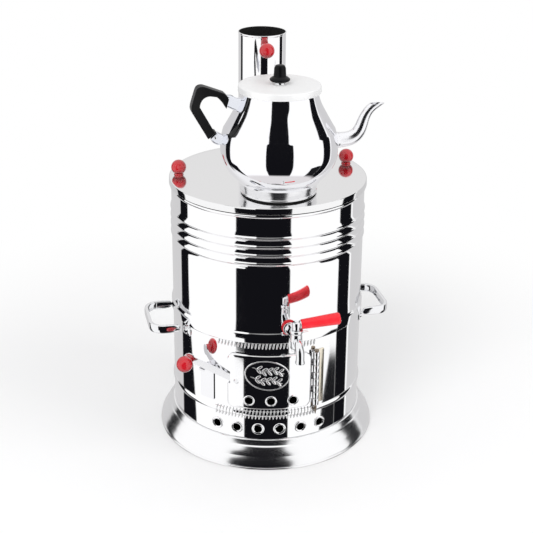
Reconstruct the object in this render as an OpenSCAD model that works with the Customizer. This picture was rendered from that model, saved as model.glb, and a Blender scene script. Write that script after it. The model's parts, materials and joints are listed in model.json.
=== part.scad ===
// Charcoal samovar: flared base, firebox with hinged door and latch, water tank
// with a plug tap, loose lid, lift-off chimney and teapot. Millimetres.
// +Z is up, the tap points along -Y, the carrying handles lie on +X and -X.

/* [Body] */

// Outside radius of the firebox and tank walls
body_r = 120; // [100:1:140]
// Sheet thickness of the body walls
wall = 1.2; // [0.6:0.1:2]
// Height of the lid's top plane above the floor
lid_top_z = 333.5; // [280:0.5:360]
// Height where the tank wall starts, above the firebox
tank_z = 165; // [140:1:190]
// Height of the lowest of the four pressed ribs
rib_z = 268; // [220:1:290]
// Distance from one pressed rib to the next
rib_pitch = 10.8; // [8:0.1:14]
// How far a pressed rib stands out of the wall
rib_out = 1.4; // [0.6:0.1:2.5]

/* [Base] */

// Outside radius of the flared base
base_r = 139; // [125:1:160]
// Height of the flared base
base_h = 33; // [20:1:45]
// Radius of the six low air holes and of the three in the door
air_hole_r = 4.9; // [3:0.1:6]
// Angle from one low air hole to the next
air_pitch = 12.7; // [10:0.1:15]

/* [Door] */

// Angle of the middle of the door, from the tap toward +X
door_turn = -11; // [-30:0.5:30]
// Half of the angle that the door spans
door_half = 24.4; // [18:0.1:30]
// Height of the lower edge of the door
door_low = 76.5; // [60:0.5:90]
// Height of the upper edge of the door
door_high = 149.5; // [130:0.5:160]
// Angle of the hinge axis, from the tap toward +X
hinge_turn = 16.5; // [14:0.1:20]
// Number of knuckles of the hinge, shared by door and casing
knuckles = 8; // [4:1:12]

/* [Latch] */

// Angle of the latch's rivet, from the tap toward +X
latch_turn = -30; // [-34:0.5:-26]
// Height of the latch's rivet
latch_z = 113; // [100:0.5:130]
// Slope of the latch lever at rest
latch_slope = 18; // [0:0.5:30]
// Length of the latch lever from rivet to knob
latch_len = 60; // [50:0.5:70]

/* [Tap] */

// Height of the tap's water way
tap_z = 186; // [180:0.5:200]
// Distance of the plug's axis from the body's axis
plug_y = 155; // [145:0.5:165]
// Radius of the tap's plug
plug_r = 4.5; // [3.5:0.1:6]
// Radius of the water way
way_r = 2.4; // [1.5:0.1:3]
// Distance of the outlet from the body's axis
outlet_y = 175; // [168:0.5:185]
// Radius of the bore of the outlet
outlet_r = 3.6; // [2.5:0.1:4]

/* [Chimney] */

// Distance of the chimney's axis behind the body's axis
chimney_y = 38.5; // [34:0.5:50]
// Outside radius of the chimney pipe
chimney_r = 29; // [25:0.5:33]
// Height of the chimney's mouth above the floor
chimney_top = 510; // [440:1:540]

/* [Teapot] */

// Distance of the teapot's axis in front of the body's axis
pot_y = 58.5; // [50:0.5:70]
// Sheet thickness of the teapot
pot_wall = 1.2; // [0.8:0.1:2]
// Radius of the teapot's lid
pot_lid_r = 48.5; // [44:0.5:54]

/* [Fits] */

// Radial running clearance of the plug and the hinge
run = 0.05; // [0.01:0.01:0.1]
// Overlap of pieces that are pressed, soldered or riveted together
press = 0.1; // [0.02:0.01:0.2]
// Gap between pieces that only pass each other
pass = 0.5; // [0.3:0.1:1]

/* [Hidden] */

$fn = 96;
inner_r = body_r - wall;
over = 1;

// Base
roll_r = 3;
base_in = body_r - press;
collar_low = base_h - 11;
plate_z = base_h - 8;
plate_t = 1.2;

// Firebox casing
casing_low = base_h - 9;
casing_high = tank_z + 6;
bead_low = 64.5;
bead_high = 72;
bead_out = 1.6;
air_z = 47.5;
collar_r = 7.7;
collar_out = 1.2;
open_half = door_half - 3.2;
open_low = door_low + 4;
open_high = door_high - 4;
corner_r = 8;

// Grate
ledge_z = 70;
grate_z = ledge_z + 1.5;
grate_t = 3;
grate_r = inner_r - 1.5;

// Tank
band_out = 1.9;
band_high = tank_z + 12.5;
shell_high = lid_top_z - 4;
floor_z = tank_z + 6;
flue_r = chimney_r + 2.2;
flue_in = chimney_r + 1;
flue_low = tank_z - 4;
flue_high = lid_top_z - 4.5;

// Carrying handles
grip_x = body_r + 36;
grip_z = 156;
grip_h = 11;
grip_half = 36;
grip_t = 2.4;
grip_corner = 17;
foot_half = 8;
rivet_r = 2;
rivet_head = 3.6;

// Door and hinge
door_in = body_r + 2.8;
door_out = door_in + wall;
door_collar_r = 7.1;
door_hole_z = 88.4;
door_hole_pitch = 12.6;
door_hole_turn = door_turn + 1;
oval_turn = door_turn - 1.3;
oval_z = 123.8;
oval_a = 28;
oval_b = 20;
oval_tilt = 8;
oval_out = 0.9;
hinge_r = body_r + 4.4;
barrel_r = 4;
pin_r = 1.6;
knuckle_h = (door_high - door_low) / knuckles;
knuckle_gap = 0.35;
leaf_from = hinge_turn + 2.1;
leaf_to = hinge_turn + 6.2;

// Latch
lever_t = 1.4;
lever_h = 10;
lever_y = body_r + 0.5;
lever_pin_r = 2.2;
knob_reach = 17;
ledge_at = 45;
ledge_w = 7;
keeper_turn = -49.8;
keeper_half = 4.9;
keeper_low = 79;
keeper_high = 120;

// Knobs
ball_r = 10;
neck_r = 5.5;
screw_r = 2;
knob_x = body_r - 11.5;
knob_y = 23;
knob_lift = 12.5;

// Lid
lid_t = 1;
lid_r = body_r + 3.6;
rim_r = 2;
lid_skirt_r = inner_r - 0.8;
lid_hole_r = chimney_r + 0.8;
lid_collar_h = 3.5;

// Chimney
pipe_t = 0.9;
pipe_low = lid_top_z - 61.5;
stop_z = lid_top_z + lid_collar_h;
chimney_knob_z = chimney_top - 14.5;
chimney_knob_turn = -5;
chimney_ball_r = 9.2;

// Tap
body_out = 7.2;
tap_low = tap_z - 9;
tap_high = tap_z + 14;
barrel_out = 5.6;
flange_r = 8;
seal_r = 9.2;
tail_r = 5.8;
bend_r = 12;
spout_out = outlet_r + 1.6;
outlet_z = 166;
hub_z = tap_high + 0.3;
hub_h = 10.6;
hub_r = 5;
grip_slope = 4.2;
grip_rise = 5.4;
grip_from = 5.4;
grip_len = 47;
stem_r = 2.2;

// Teapot
pot_z = lid_top_z;
pot_floor = 19;
pot_rim = 129;
spout_hole_r = 7;
handle_t = 14;
tongue_t = 8;
pot_pin_r = 1.6;

// ---- helpers ----

// Point on a curve of second degree through a and c, drawn toward b.
function bend(a, b, c, t) =
  (1 - t) * (1 - t) * a + 2 * t * (1 - t) * b + t * t * c;

// Such a curve as a list of n + 1 points.
function bend_path(a, b, c, n) = [for (i = [0 : n]) bend(a, b, c, i / n)];

// Turns what is drawn at the front (-Y) to an angle round the body.
module at(turn) {
  rotate([0, 0, turn])
    children();
}

// A cylinder that points outward along -Y, from radius a to radius b.
module spoke(r, a, b, z, r2 = -1) {
  translate([0, -a, z])
    rotate([90, 0, 0])
      cylinder(h = b - a, r1 = r, r2 = r2 < 0 ? r : r2);
}

// A slab of the shell between two radii, one angle to another.
module sector(r_in, r_out, from, to, low, high) {
  span = to - from;
  rotate([0, 0, from - 90])
    rotate_extrude(angle = span)
      translate([r_in, low])
        square([r_out - r_in, high - low]);
}

module ring(r_in, r_out, low, high) {
  translate([0, 0, low])
    difference() {
      cylinder(h = high - low, r = r_out);
      translate([0, 0, -over])
        cylinder(h = high - low + 2 * over, r = r_in);
    }
}

// A plate with round corners that stands in front of the body.
module plate(half, low, high, r, depth) {
  translate([0, 0, (low + high) / 2])
    rotate([90, 0, 0])
      linear_extrude(height = depth)
        rounded(2 * half, high - low, r);
}

// A rectangle with round corners, each a quarter of a circle in eight steps.
module rounded(w, h, r) {
  polygon([
    for (q = [0 : 3])
      for (k = [0 : 8])
        [(q == 0 || q == 3 ? 1 : -1) * (w / 2 - r) + r * cos(90 * q + 11.25 * k),
         (q < 2 ? 1 : -1) * (h / 2 - r) + r * sin(90 * q + 11.25 * k)]
  ]);
}

module ellipse(a, b) {
  polygon([for (i = [0 : 59]) [a * cos(6 * i), b * sin(6 * i)]]);
}

module hexagon(r, h) {
  cylinder(h = h, r = r, $fn = 6);
}

// ---- base and firebox ----

module base_ring() {
  flare = bend_path([base_r, roll_r], [base_r - 1, base_h - 10.5], [body_r + 1.6, base_h], 10);
  inside = bend_path([body_r + 0.4, base_h - 2.6], [base_r - 3.4, base_h - 12.4], [base_r - 2, roll_r + 1.5], 10);
  color([0.82, 0.83, 0.85])
    union() {
      rotate_extrude()
        polygon(concat(flare, [[base_in, base_h], [base_in, collar_low], [body_r + 0.4, collar_low]], inside));
      rotate_extrude()
        intersection() {
          translate([base_r - roll_r, roll_r])
            circle(r = roll_r);
          translate([base_r - 2 * roll_r - over, 0])
            square([2 * roll_r + 2 * over, 2 * roll_r]);
        }
      ring(base_r - 2 * roll_r + 1.5, base_r - 1.5, 0, 0.8);
    }
}

module base_plate() {
  color([0.6, 0.6, 0.62])
    union() {
      translate([0, 0, plate_z])
        cylinder(h = plate_t, r = inner_r + press);
      ring(inner_r - 1.2, inner_r + press, plate_z, plate_z + 8);
    }
}

module casing_profile() {
  outline = [
    [body_r, casing_low], [body_r, bead_low], [body_r + bead_out, bead_low + 2],
    [body_r + bead_out, bead_high - 2], [body_r, bead_high], [body_r, casing_high]
  ];
  inline = [for (i = [len(outline) - 1 : -1 : 0]) [outline[i][0] - wall, outline[i][1]]];
  polygon(concat(outline, inline));
}

// The sheet of the casing, with the door's opening and the rivet holes.
module casing_sheet() {
  difference() {
    rotate_extrude()
      casing_profile();
    at(door_turn)
      translate([0, -body_r / 2, 0])
        plate(body_r * sin(open_half), open_low, open_high, corner_r, body_r);
    for (side = [-90, 90])
      for (y = [-1, 1])
        at(side)
          rotate([0, 0, y * foot_turn()])
            spoke(rivet_r - press / 2, body_r - 6, body_r + 6, grip_z);
  }
}

module firebox_casing() {
  color([0.85, 0.86, 0.88])
    difference() {
      union() {
        casing_sheet();
        for (i = [-2.5 : 1 : 2.5])
          at(door_turn + i * air_pitch)
            spoke(collar_r, body_r - 0.6, body_r + collar_out, air_z, collar_r - 0.8);
      }
      for (i = [-2.5 : 1 : 2.5])
        at(door_turn + i * air_pitch)
          spoke(air_hole_r, body_r - 6, body_r + 6, air_z);
    }
}

module grate_ledge() {
  color([0.55, 0.55, 0.57])
    ring(inner_r - 6, inner_r + press, ledge_z, grate_z);
}

module fire_grate() {
  color([0.3, 0.3, 0.31])
    translate([0, 0, grate_z])
      difference() {
        cylinder(h = grate_t, r = grate_r);
        for (i = [-5 : 5])
          translate([0, i * 17, grate_t / 2])
            cube([2 * sqrt(pow(grate_r - 14, 2) - pow(i * 17, 2)) - 6, 8, grate_t + 2 * over], center = true);
      }
}

// ---- tank ----

function rib(z) = [
  [body_r, z - 2.6], [body_r + rib_out * 0.7, z - 1.5], [body_r + rib_out, z],
  [body_r + rib_out * 0.7, z + 1.5], [body_r, z + 2.6]
];

function shell_outline() = concat(
  [[body_r + 1.5, tank_z], [body_r + band_out, tank_z + 2], [body_r + band_out, band_high - 4],
   [body_r + 1.3, band_high - 1], [body_r, band_high + 1]],
  rib(rib_z), rib(rib_z + rib_pitch), rib(rib_z + 2 * rib_pitch), rib(rib_z + 3 * rib_pitch),
  [[body_r, shell_high - 2.4], [body_r + 1.6, shell_high - 1.6], [body_r + 1.6, shell_high]]
);

module tank_shell() {
  outline = shell_outline();
  shift = [wall, 0];
  inline = [for (i = [len(outline) - 1 : -1 : 0]) outline[i] - shift];
  color([0.86, 0.87, 0.89])
    difference() {
      rotate_extrude()
        polygon(concat(outline, inline));
      spoke(tail_r + 0.2, body_r - 6, body_r + 6, tap_z);
    }
}

module tank_floor() {
  color([0.7, 0.7, 0.72])
    difference() {
      union() {
        translate([0, 0, floor_z])
          cylinder(h = wall, r = body_r + band_out - wall + press);
        translate([0, 0, floor_z])
          cylinder(h = 5, r = inner_r - 1);
      }
      translate([0, 0, floor_z + wall])
        cylinder(h = 5, r = inner_r - 1 - wall);
      translate([0, chimney_y, floor_z - over])
        cylinder(h = 10, r = flue_r - press);
    }
}

module flue_tube() {
  color([0.5, 0.5, 0.52])
    translate([0, chimney_y, 0])
      union() {
        ring(flue_in, flue_r, flue_low, flue_high);
        ring(flue_in, flue_r + 3, floor_z + wall, floor_z + wall + 1.5);
      }
}

// ---- carrying handles ----

function foot_turn() = asin(grip_half / body_r) + 4.6;

module loop_outline(x, half, r) {
  polygon(concat(
    [[0, -half]],
    [for (k = [-12 : 0]) [x - r + r * cos(7.5 * k), -(half - r) + r * sin(7.5 * k)]],
    [for (k = [0 : 12]) [x - r + r * cos(7.5 * k), half - r + r * sin(7.5 * k)]],
    [[0, half]]
  ));
}

module grip_loop() {
  low = grip_z - grip_h / 2;
  difference() {
    translate([0, 0, low])
      linear_extrude(height = grip_h)
        difference() {
          loop_outline(grip_x, grip_half + grip_t, grip_corner);
          loop_outline(grip_x - grip_t - 2, grip_half - 2, grip_corner - grip_t - 2);
        }
    // Hollows the bar to a channel that opens inward
    translate([0, 0, low + 1.2])
      linear_extrude(height = grip_h - 2.4)
        loop_outline(grip_x - grip_t, grip_half, grip_corner - grip_t);
    translate([0, 0, grip_z - grip_h])
      cylinder(h = 2 * grip_h, r = body_r + 0.6);
    translate([-grip_x, -grip_x, grip_z - grip_h])
      cube([grip_x + body_r / 2, 2 * grip_x, 2 * grip_h]);
  }
}

// A foot of the handle, riveted to the casing.
module grip_foot() {
  difference() {
    sector(body_r - press, body_r + 1.6, -4.6, 4, grip_z - grip_h / 2 + 0.3, grip_z + grip_h / 2 - 0.3);
    spoke(rivet_r - press / 2, body_r - 6, body_r + 6, grip_z);
  }
}

module handle_bar() {
  union() {
    grip_loop();
    for (y = [-1, 1])
      rotate([0, 0, 90 + y * foot_turn()])
        grip_foot();
  }
}

module handle_right() {
  color([0.8, 0.8, 0.82])
    handle_bar();
}

module handle_left() {
  color([0.8, 0.8, 0.82])
    rotate([0, 0, 180])
      handle_bar();
}

module handle_rivets() {
  color([0.75, 0.75, 0.77])
    for (side = [-90, 90])
      for (y = [-1, 1])
        at(side)
          rotate([0, 0, y * foot_turn()]) {
            spoke(rivet_r, inner_r - 1, body_r + 2, grip_z);
            spoke(rivet_head, body_r + 1.6 - press, body_r + 3.2, grip_z, rivet_head * 0.6);
            spoke(rivet_head * 0.7, inner_r - 1.2, inner_r + press - 0.1, grip_z);
          }
}

// ---- hinge, door and latch ----

function knuckle_low(i) = door_low + i * knuckle_h + knuckle_gap / 2;
function knuckle_high(i) = door_low + (i + 1) * knuckle_h - knuckle_gap / 2;

module knuckle(i, from, to, bore, r_in, r_out) {
  difference() {
    union() {
      at(hinge_turn)
        translate([0, -hinge_r, knuckle_low(i)])
          cylinder(h = knuckle_high(i) - knuckle_low(i), r = barrel_r, $fn = 48);
      sector(r_in, r_out, from, to, knuckle_low(i), knuckle_high(i));
    }
    at(hinge_turn)
      translate([0, -hinge_r, door_low - over])
        cylinder(h = door_high - door_low + 2 * over, r = bore, $fn = 48);
  }
}

module hinge_leaf() {
  color([0.83, 0.79, 0.68])
    union() {
      sector(body_r - press, body_r + 1.4, leaf_from, leaf_to, door_low, door_high);
      for (i = [0 : 2 : knuckles - 1])
        knuckle(i, hinge_turn, leaf_from + 0.5, pin_r - press / 2, body_r + 0.35, body_r + 1.25);
    }
}

module hinge_pin() {
  color([0.55, 0.5, 0.42])
    at(hinge_turn)
      translate([0, -hinge_r, 0])
        union() {
          translate([0, 0, door_low - 6])
            cylinder(h = door_high - door_low + 8, r = pin_r, $fn = 48);
          translate([0, 0, door_high + 0.2])
            cylinder(h = 2.2, r = pin_r + 1.1, $fn = 48);
          translate([0, 0, door_low - 13])
            cylinder(h = 7.1, r1 = 0.5, r2 = pin_r, $fn = 48);
        }
}

module door_panel() {
  color([0.87, 0.88, 0.9])
    difference() {
      union() {
        door_pan();
        for (i = [-1 : 1])
          at(door_hole_turn + i * door_hole_pitch)
            spoke(door_collar_r, door_in + 0.5, door_out + collar_out, door_hole_z, door_collar_r - 0.8);
        intersection() {
          ring(door_out - 0.4, door_out + oval_out, oval_z - 2 * oval_b, oval_z + 2 * oval_b);
          at(oval_turn)
            translate([0, -body_r / 2, oval_z])
              rotate([90, oval_tilt, 0])
                linear_extrude(height = body_r)
                  ellipse(oval_a, oval_b);
        }
        for (i = [1 : 2 : knuckles - 1])
          knuckle(i, door_turn + door_half - 2, hinge_turn, pin_r + run, door_in + 0.1, door_out - 0.1);
      }
      for (i = [-1 : 1])
        at(door_hole_turn + i * door_hole_pitch)
          spoke(air_hole_r, body_r - 6, body_r + 6, door_hole_z);
      at(latch_turn)
        spoke(lever_pin_r - press / 2, body_r - 6, body_r + 6, latch_z);
      // Clears the middle of the badge, so that its rim stands out
      difference() {
        intersection() {
          ring(door_out + oval_out - 0.5, door_out + oval_out + 2, oval_z - 2 * oval_b, oval_z + 2 * oval_b);
          at(oval_turn)
            translate([0, -body_r / 2, oval_z])
              rotate([90, oval_tilt, 0])
                linear_extrude(height = body_r)
                  ellipse(oval_a - 1.8, oval_b - 1.8);
        }
      }
    }
}

// The sheet of the door, its edge turned in toward the casing, with a notch for the lever.
module door_pan() {
  half = door_in * sin(door_half);
  difference() {
    intersection() {
      ring(body_r + 0.4, door_out, door_low - over, door_high + over);
      at(door_turn)
        translate([0, -body_r / 2, 0])
          plate(half, door_low, door_high, corner_r, body_r);
    }
    intersection() {
      translate([0, 0, door_low - over])
        cylinder(h = door_high - door_low + 2 * over, r = door_in);
      at(door_turn)
        translate([0, -body_r / 4, 0])
          plate(half - wall, door_low + wall, door_high - wall, corner_r - wall, body_r);
    }
    intersection() {
      translate([0, 0, latch_z - 4])
        cylinder(h = door_high - latch_z - 5, r = door_in);
      at(door_turn)
        translate([-half - 1, -2 * body_r, 0])
          cube([corner_r, 2 * body_r, door_high]);
    }
  }
}

// The latch lies behind the door, in the plane that touches the casing at the rivet.
module latch_frame() {
  at(latch_turn)
    translate([0, 0, latch_z])
      children();
}

module latch_rivet() {
  color([0.75, 0.75, 0.77])
    latch_frame()
      union() {
        spoke(lever_pin_r, lever_y - 1.2, door_out + 0.6, 0);
        spoke(3.5, door_out - press, door_out + 1.6, 0, 2);
        spoke(3.2, lever_y - 1.3, lever_y - 0.15, 0);
        // Holds the lever off the door
        spoke(3.2, lever_y + lever_t + 0.15, door_in + press, 0);
      }
}

module latch_lever() {
  color([0.72, 0.73, 0.75])
    latch_frame()
      translate([0, -lever_y, 0])
        rotate([0, latch_slope, 0])
          rotate([90, 0, 0])
            difference() {
              union() {
                linear_extrude(height = lever_t) {
                  circle(r = 5.5);
                  translate([-latch_len, -lever_h / 2])
                    square([latch_len, lever_h]);
                  translate([-latch_len, 0])
                    circle(r = 7);
                }
                // The stub that the knob is screwed on
                translate([-latch_len, 0, lever_t - press])
                  cylinder(h = 9, r = screw_r, $fn = 48);
              }
              translate([0, 0, -over])
                cylinder(h = lever_t + 2 * over, r = lever_pin_r + run, $fn = 48);
            }
}

module ball_knob(r, lift) {
  difference() {
    union() {
      translate([0, 0, lift])
        sphere(r = r);
      cylinder(h = lift - r * 0.6, r1 = neck_r + 1, r2 = neck_r - 0.4);
    }
    translate([0, 0, -over])
      cylinder(h = lift + over, r = screw_r - press / 2, $fn = 48);
  }
}

module latch_knob() {
  color([0.65, 0.04, 0.06])
    latch_frame()
      translate([0, -lever_y, 0])
        rotate([0, latch_slope, 0])
          rotate([90, 0, 0])
            translate([-latch_len, 0, lever_t])
              ball_knob(ball_r, knob_reach - lever_t);
}

module latch_keeper() {
  color([0.8, 0.8, 0.82])
    union() {
      sector(body_r - press, body_r + 1.5, keeper_turn - keeper_half, keeper_turn + keeper_half,
             keeper_low, keeper_high);
      // The ledge that the lever rests on
      difference() {
        latch_frame()
          rotate([0, latch_slope, 0])
            translate([-ledge_at - ledge_w / 2, -lever_y - lever_t - 1.5, -lever_h / 2 - 2.6])
              cube([ledge_w, 22, 2.5]);
        cylinder(h = 2 * keeper_high, r = body_r + 0.7);
      }
    }
}

// ---- tap ----

module tap_body() {
  color([0.8, 0.81, 0.83])
    difference() {
      union() {
        spoke(tail_r, body_r - 9, body_r + 4, tap_z);
        spoke(flange_r, body_r + 2, body_r + 4.5, tap_z);
        spoke(barrel_out, body_r + 4, plug_y, tap_z);
        translate([0, -plug_y, tap_low])
          cylinder(h = tap_high - tap_low, r = body_out);
        translate([0, -plug_y, tap_high - 3])
          cylinder(h = 3, r = body_out + 0.8);
        tap_nose();
      }
      // Plug seat
      translate([0, -plug_y, tap_low - over])
        cylinder(h = tap_high - tap_low + 2 * over, r = plug_r);
      // Water way in and out
      spoke(way_r, body_r - 10, plug_y + body_out + 0.3, tap_z);
    }
}

// The bent nose of the tap, turned down at its end, as one pipe.
module tap_nose() {
  difference() {
    union() {
      spoke(spout_out, plug_y + plug_r + 0.6, outlet_y - bend_r, tap_z);
      tap_bend(spout_out);
      translate([0, -outlet_y, outlet_z])
        cylinder(h = tap_z - bend_r - outlet_z, r = spout_out);
      translate([0, -outlet_y, outlet_z])
        cylinder(h = 2, r = spout_out + 0.5);
    }
    spoke(way_r, plug_y, outlet_y - bend_r, tap_z);
    tap_bend(way_r);
    translate([0, -outlet_y, outlet_z + 6])
      cylinder(h = tap_z - bend_r - outlet_z - 6, r = way_r);
    translate([0, -outlet_y, outlet_z - over])
      cylinder(h = 9 + over, r = outlet_r);
  }
}

// The quarter turn from the water way down to the outlet.
module tap_bend(r) {
  translate([0, -outlet_y + bend_r, tap_z - bend_r])
    rotate([0, -90, 180])
      rotate_extrude(angle = 90, $fn = 64)
        translate([bend_r, 0])
          circle(r = r, $fn = 32);
}

module tap_seal() {
  color([0.8, 0.08, 0.1])
    difference() {
      spoke(seal_r, body_r - 0.5, body_r + 2, tap_z);
      spoke(tail_r - press / 2, body_r - 2, body_r + 4, tap_z);
    }
}

module tap_backnut() {
  color([0.7, 0.62, 0.4])
    difference() {
      translate([0, -inner_r + 0.5, tap_z])
        rotate([-90, 0, 0])
          hexagon(10.5, 5);
      spoke(tail_r - press / 2, body_r - 12, body_r + 4, tap_z);
    }
}

module tap_plug() {
  color([0.8, 0.81, 0.83])
    translate([0, -plug_y, 0])
      union() {
        difference() {
          translate([0, 0, tap_low - 5])
            cylinder(h = hub_z - tap_low + 5.5, r = plug_r - run);
          translate([0, 0, tap_z])
            rotate([0, 90, 0])
              cylinder(h = 4 * plug_r, r = way_r, center = true);
        }
        translate([0, 0, hub_z])
          cylinder(h = hub_h - 3, r = hub_r);
        translate([0, 0, hub_z + hub_h - 3])
          cylinder(h = 1.6, r1 = hub_r, r2 = hub_r - 1.6);
        translate([0, 0, hub_z + grip_rise])
          rotate([0, 90 - grip_slope, 0])
            union() {
              cylinder(h = grip_from + 34, r = stem_r, $fn = 48);
              translate([0, 0, grip_from - 1.4])
                cylinder(h = 1.4, r = 4.8);
            }
      }
}

module tap_grip() {
  color([0.9, 0.08, 0.12])
    translate([0, -plug_y, hub_z + grip_rise])
      rotate([0, 90 - grip_slope, 0])
        difference() {
          translate([0, 0, grip_from])
            rotate_extrude()
              polygon(concat(
                [[0, 0], [5.6, 0], [6.0, 0.6]],
                bend_path([7.3, grip_len - 5], [7.5, grip_len - 0.4], [2.4, grip_len], 6),
                [[0, grip_len]]
              ));
          cylinder(h = grip_from + 34, r = stem_r - press / 2, $fn = 48);
        }
}

module tap_nut() {
  color([0.78, 0.79, 0.81])
    translate([0, -plug_y, tap_low])
      difference() {
        union() {
          translate([0, 0, -1.2])
            cylinder(h = 0.9, r = 6.6);
          translate([0, 0, -4.6])
            hexagon(6.4, 3.4);
        }
        translate([0, 0, -6])
          cylinder(h = 8, r = plug_r - run - press / 2);
      }
}

// ---- lid and chimney ----

module lid_disc() {
  color([0.85, 0.85, 0.86])
    difference() {
      union() {
        translate([0, 0, lid_top_z - lid_t])
          cylinder(h = lid_t, r = lid_r - rim_r);
        rotate_extrude()
          translate([lid_r - rim_r, lid_top_z - rim_r])
            circle(r = rim_r);
        ring(lid_skirt_r - 0.8, lid_skirt_r, lid_top_z - 8, lid_top_z - lid_t / 2);
        translate([0, chimney_y, 0])
          ring(flue_r + pass, flue_r + pass + 1, lid_top_z - 12, lid_top_z - lid_t / 2);
        translate([0, chimney_y, 0])
          ring(lid_hole_r, lid_hole_r + 2, lid_top_z - lid_t, stop_z);
      }
      translate([0, chimney_y, lid_top_z - 2 * lid_t])
        cylinder(h = 10, r = lid_hole_r);
      for (x = [-knob_x, knob_x])
        translate([x, knob_y, lid_top_z - 5])
          cylinder(h = 10, r = screw_r - press / 2, $fn = 48);
    }
}

module lid_knobs() {
  color([0.65, 0.04, 0.06])
    for (x = [-knob_x, knob_x])
      translate([x, knob_y, lid_top_z])
        ball_knob(ball_r, knob_lift);
}

module lid_screws() {
  color([0.7, 0.7, 0.72])
    for (x = [-knob_x, knob_x])
      translate([x, knob_y, lid_top_z - lid_t])
        union() {
          translate([0, 0, -2])
            cylinder(h = 2, r = 4);
          translate([0, 0, -press])
            cylinder(h = 8 + press, r = screw_r, $fn = 48);
        }
}

module chimney_pipe() {
  color([0.84, 0.85, 0.87])
    translate([0, chimney_y, 0])
      union() {
        ring(chimney_r - pipe_t, chimney_r, pipe_low, chimney_top);
        ring(chimney_r - pipe_t / 2, chimney_r + 2.4, stop_z + 0.05, stop_z + 2.6);
        ring(chimney_r - pipe_t / 2, chimney_r + 0.5, chimney_top - 1.6, chimney_top);
      }
}

module chimney_knob() {
  color([0.65, 0.04, 0.06])
    translate([0, chimney_y, chimney_knob_z])
      at(chimney_knob_turn)
        difference() {
          translate([0, -chimney_r + 1, 0])
            rotate([90, 0, 0])
              ball_knob(chimney_ball_r, 14.5);
          // Sits on the round of the pipe
          translate([0, 0, -20])
            cylinder(h = 40, r = chimney_r);
        }
}

module chimney_stud() {
  color([0.7, 0.7, 0.72])
    translate([0, chimney_y, 0])
      at(chimney_knob_turn)
        spoke(screw_r, chimney_r - press - 0.1, chimney_r + 9, chimney_knob_z);
}

// ---- teapot ----

function pot_outline() = concat(
  [[48, pot_floor + 1.5], [51, 23.5]],
  bend_path([55.5, 29], [65.2, 43], [65.6, 60], 6),
  [[65.2, 68], [64, 75.5], [63, 77.6], [61.9, 78.6], [61.7, 80]],
  bend_path([61.2, 83], [55.5, 97.5], [50.6, 107], 5),
  bend_path([49, 110.5], [45.6, 118], [44.8, pot_rim - 4], 4),
  [[45.3, pot_rim - 1.2], [45.3, pot_rim]]
);

// The same outline one sheet thickness further in.
function pot_inline(o) = [for (i = [len(o) - 1 : -1 : 0]) [o[i][0] - pot_wall, max(o[i][1], pot_floor + pot_wall)]];

module pot_place() {
  translate([0, -pot_y, pot_z])
    children();
}

module teapot_body() {
  o = pot_outline();
  color([0.84, 0.85, 0.88])
    pot_place()
      difference() {
        union() {
          rotate_extrude()
            polygon(concat([[0, pot_floor], [46, pot_floor]], o, pot_inline(o), [[0, pot_floor + pot_wall]]));
        }
        translate([50, 0, 62])
          rotate([0, 90, 0])
            cylinder(h = 30, r = spout_hole_r);
      }
}

module teapot_foot() {
  foot = [[46.6, 0.05], [48.2, 0.4], [48.8, 1.8], [48.3, 3.2], [47.2, 4.6], [46.6, 16], [46.1, pot_floor + press]];
  inside = [[44.6, pot_floor + press], [44.6, pot_floor - 1], [45.4, pot_floor - 3], [45.6, 1.2]];
  color([0.78, 0.79, 0.82])
    pot_place()
      rotate_extrude()
        polygon(concat(foot, inside));
}

// Middle line of the spout, seen from the front: [x, z, outer radius].
SPOUT = [
  [62.5, 62, 9.6], [68, 62, 8.8], [74, 61.8, 8.2], [80, 61.9, 7.8], [85, 62.8, 7.5],
  [89.6, 65, 7.2], [93.4, 68.6, 6.9], [96.3, 73.4, 6.6], [98.6, 79, 6.2], [100.8, 85.4, 5.8],
  [102.8, 91.2, 5.4], [105.2, 96.4, 5.1], [108.6, 100.9, 4.8], [113, 104.2, 4.6],
  [118.2, 106.2, 4.4], [124, 107.2, 4.2]
];
SPOUT_SIDES = 32;

function spout_dir(i) =
  let (a = SPOUT[max(i - 1, 0)], b = SPOUT[min(i + 1, len(SPOUT) - 1)])
  atan2(b[1] - a[1], b[0] - a[0]);

function spout_ring(i, r) = [
  for (k = [0 : SPOUT_SIDES - 1])
    let (w = 360 * k / SPOUT_SIDES, d = spout_dir(i))
    [SPOUT[i][0] - r * cos(w) * sin(d), r * sin(w), SPOUT[i][1] + r * cos(w) * cos(d)]
];

// Closed skin of a tube: rings are joined by triangles, the ends are fans.
function tube_faces(count, n) = concat(
  [for (i = [0 : count - 2]) for (k = [0 : n - 1]) [i * n + k, i * n + (k + 1) % n, (i + 1) * n + k]],
  [for (i = [0 : count - 2]) for (k = [0 : n - 1])
    [i * n + (k + 1) % n, (i + 1) * n + (k + 1) % n, (i + 1) * n + k]],
  [[for (k = [n - 1 : -1 : 0]) k]],
  [[for (k = [0 : n - 1]) (count - 1) * n + k]]
);

module spout_skin(less) {
  last = len(SPOUT) - 1;
  polyhedron(
    points = [for (i = [0 : last]) each spout_ring(i, SPOUT[i][2] - less)],
    faces = tube_faces(len(SPOUT), SPOUT_SIDES),
    convexity = 6
  );
}

module teapot_spout() {
  color([0.8, 0.81, 0.84])
    pot_place()
      difference() {
        union() {
          spout_skin(0);
          translate([62, 0, 62])
            rotate([0, 90, 0])
              cylinder(h = 5, r1 = 10.6, r2 = 9.4);
        }
        spout_skin(1.3);
        translate([50, 0, 62])
          rotate([0, 90, 0])
            cylinder(h = 13.5, r = 8);
        translate([122.5, 0, 107])
          rotate([0, 80, 0])
            cylinder(h = 6, r = 2.9);
        // Leaves the sheet of the belly clear
        rotate_extrude()
          polygon([[0, 40], [62.6, 46], [65.45, 56], [65.45, 64], [64.9, 70], [63, 76], [0, 90]]);
      }
}

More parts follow.
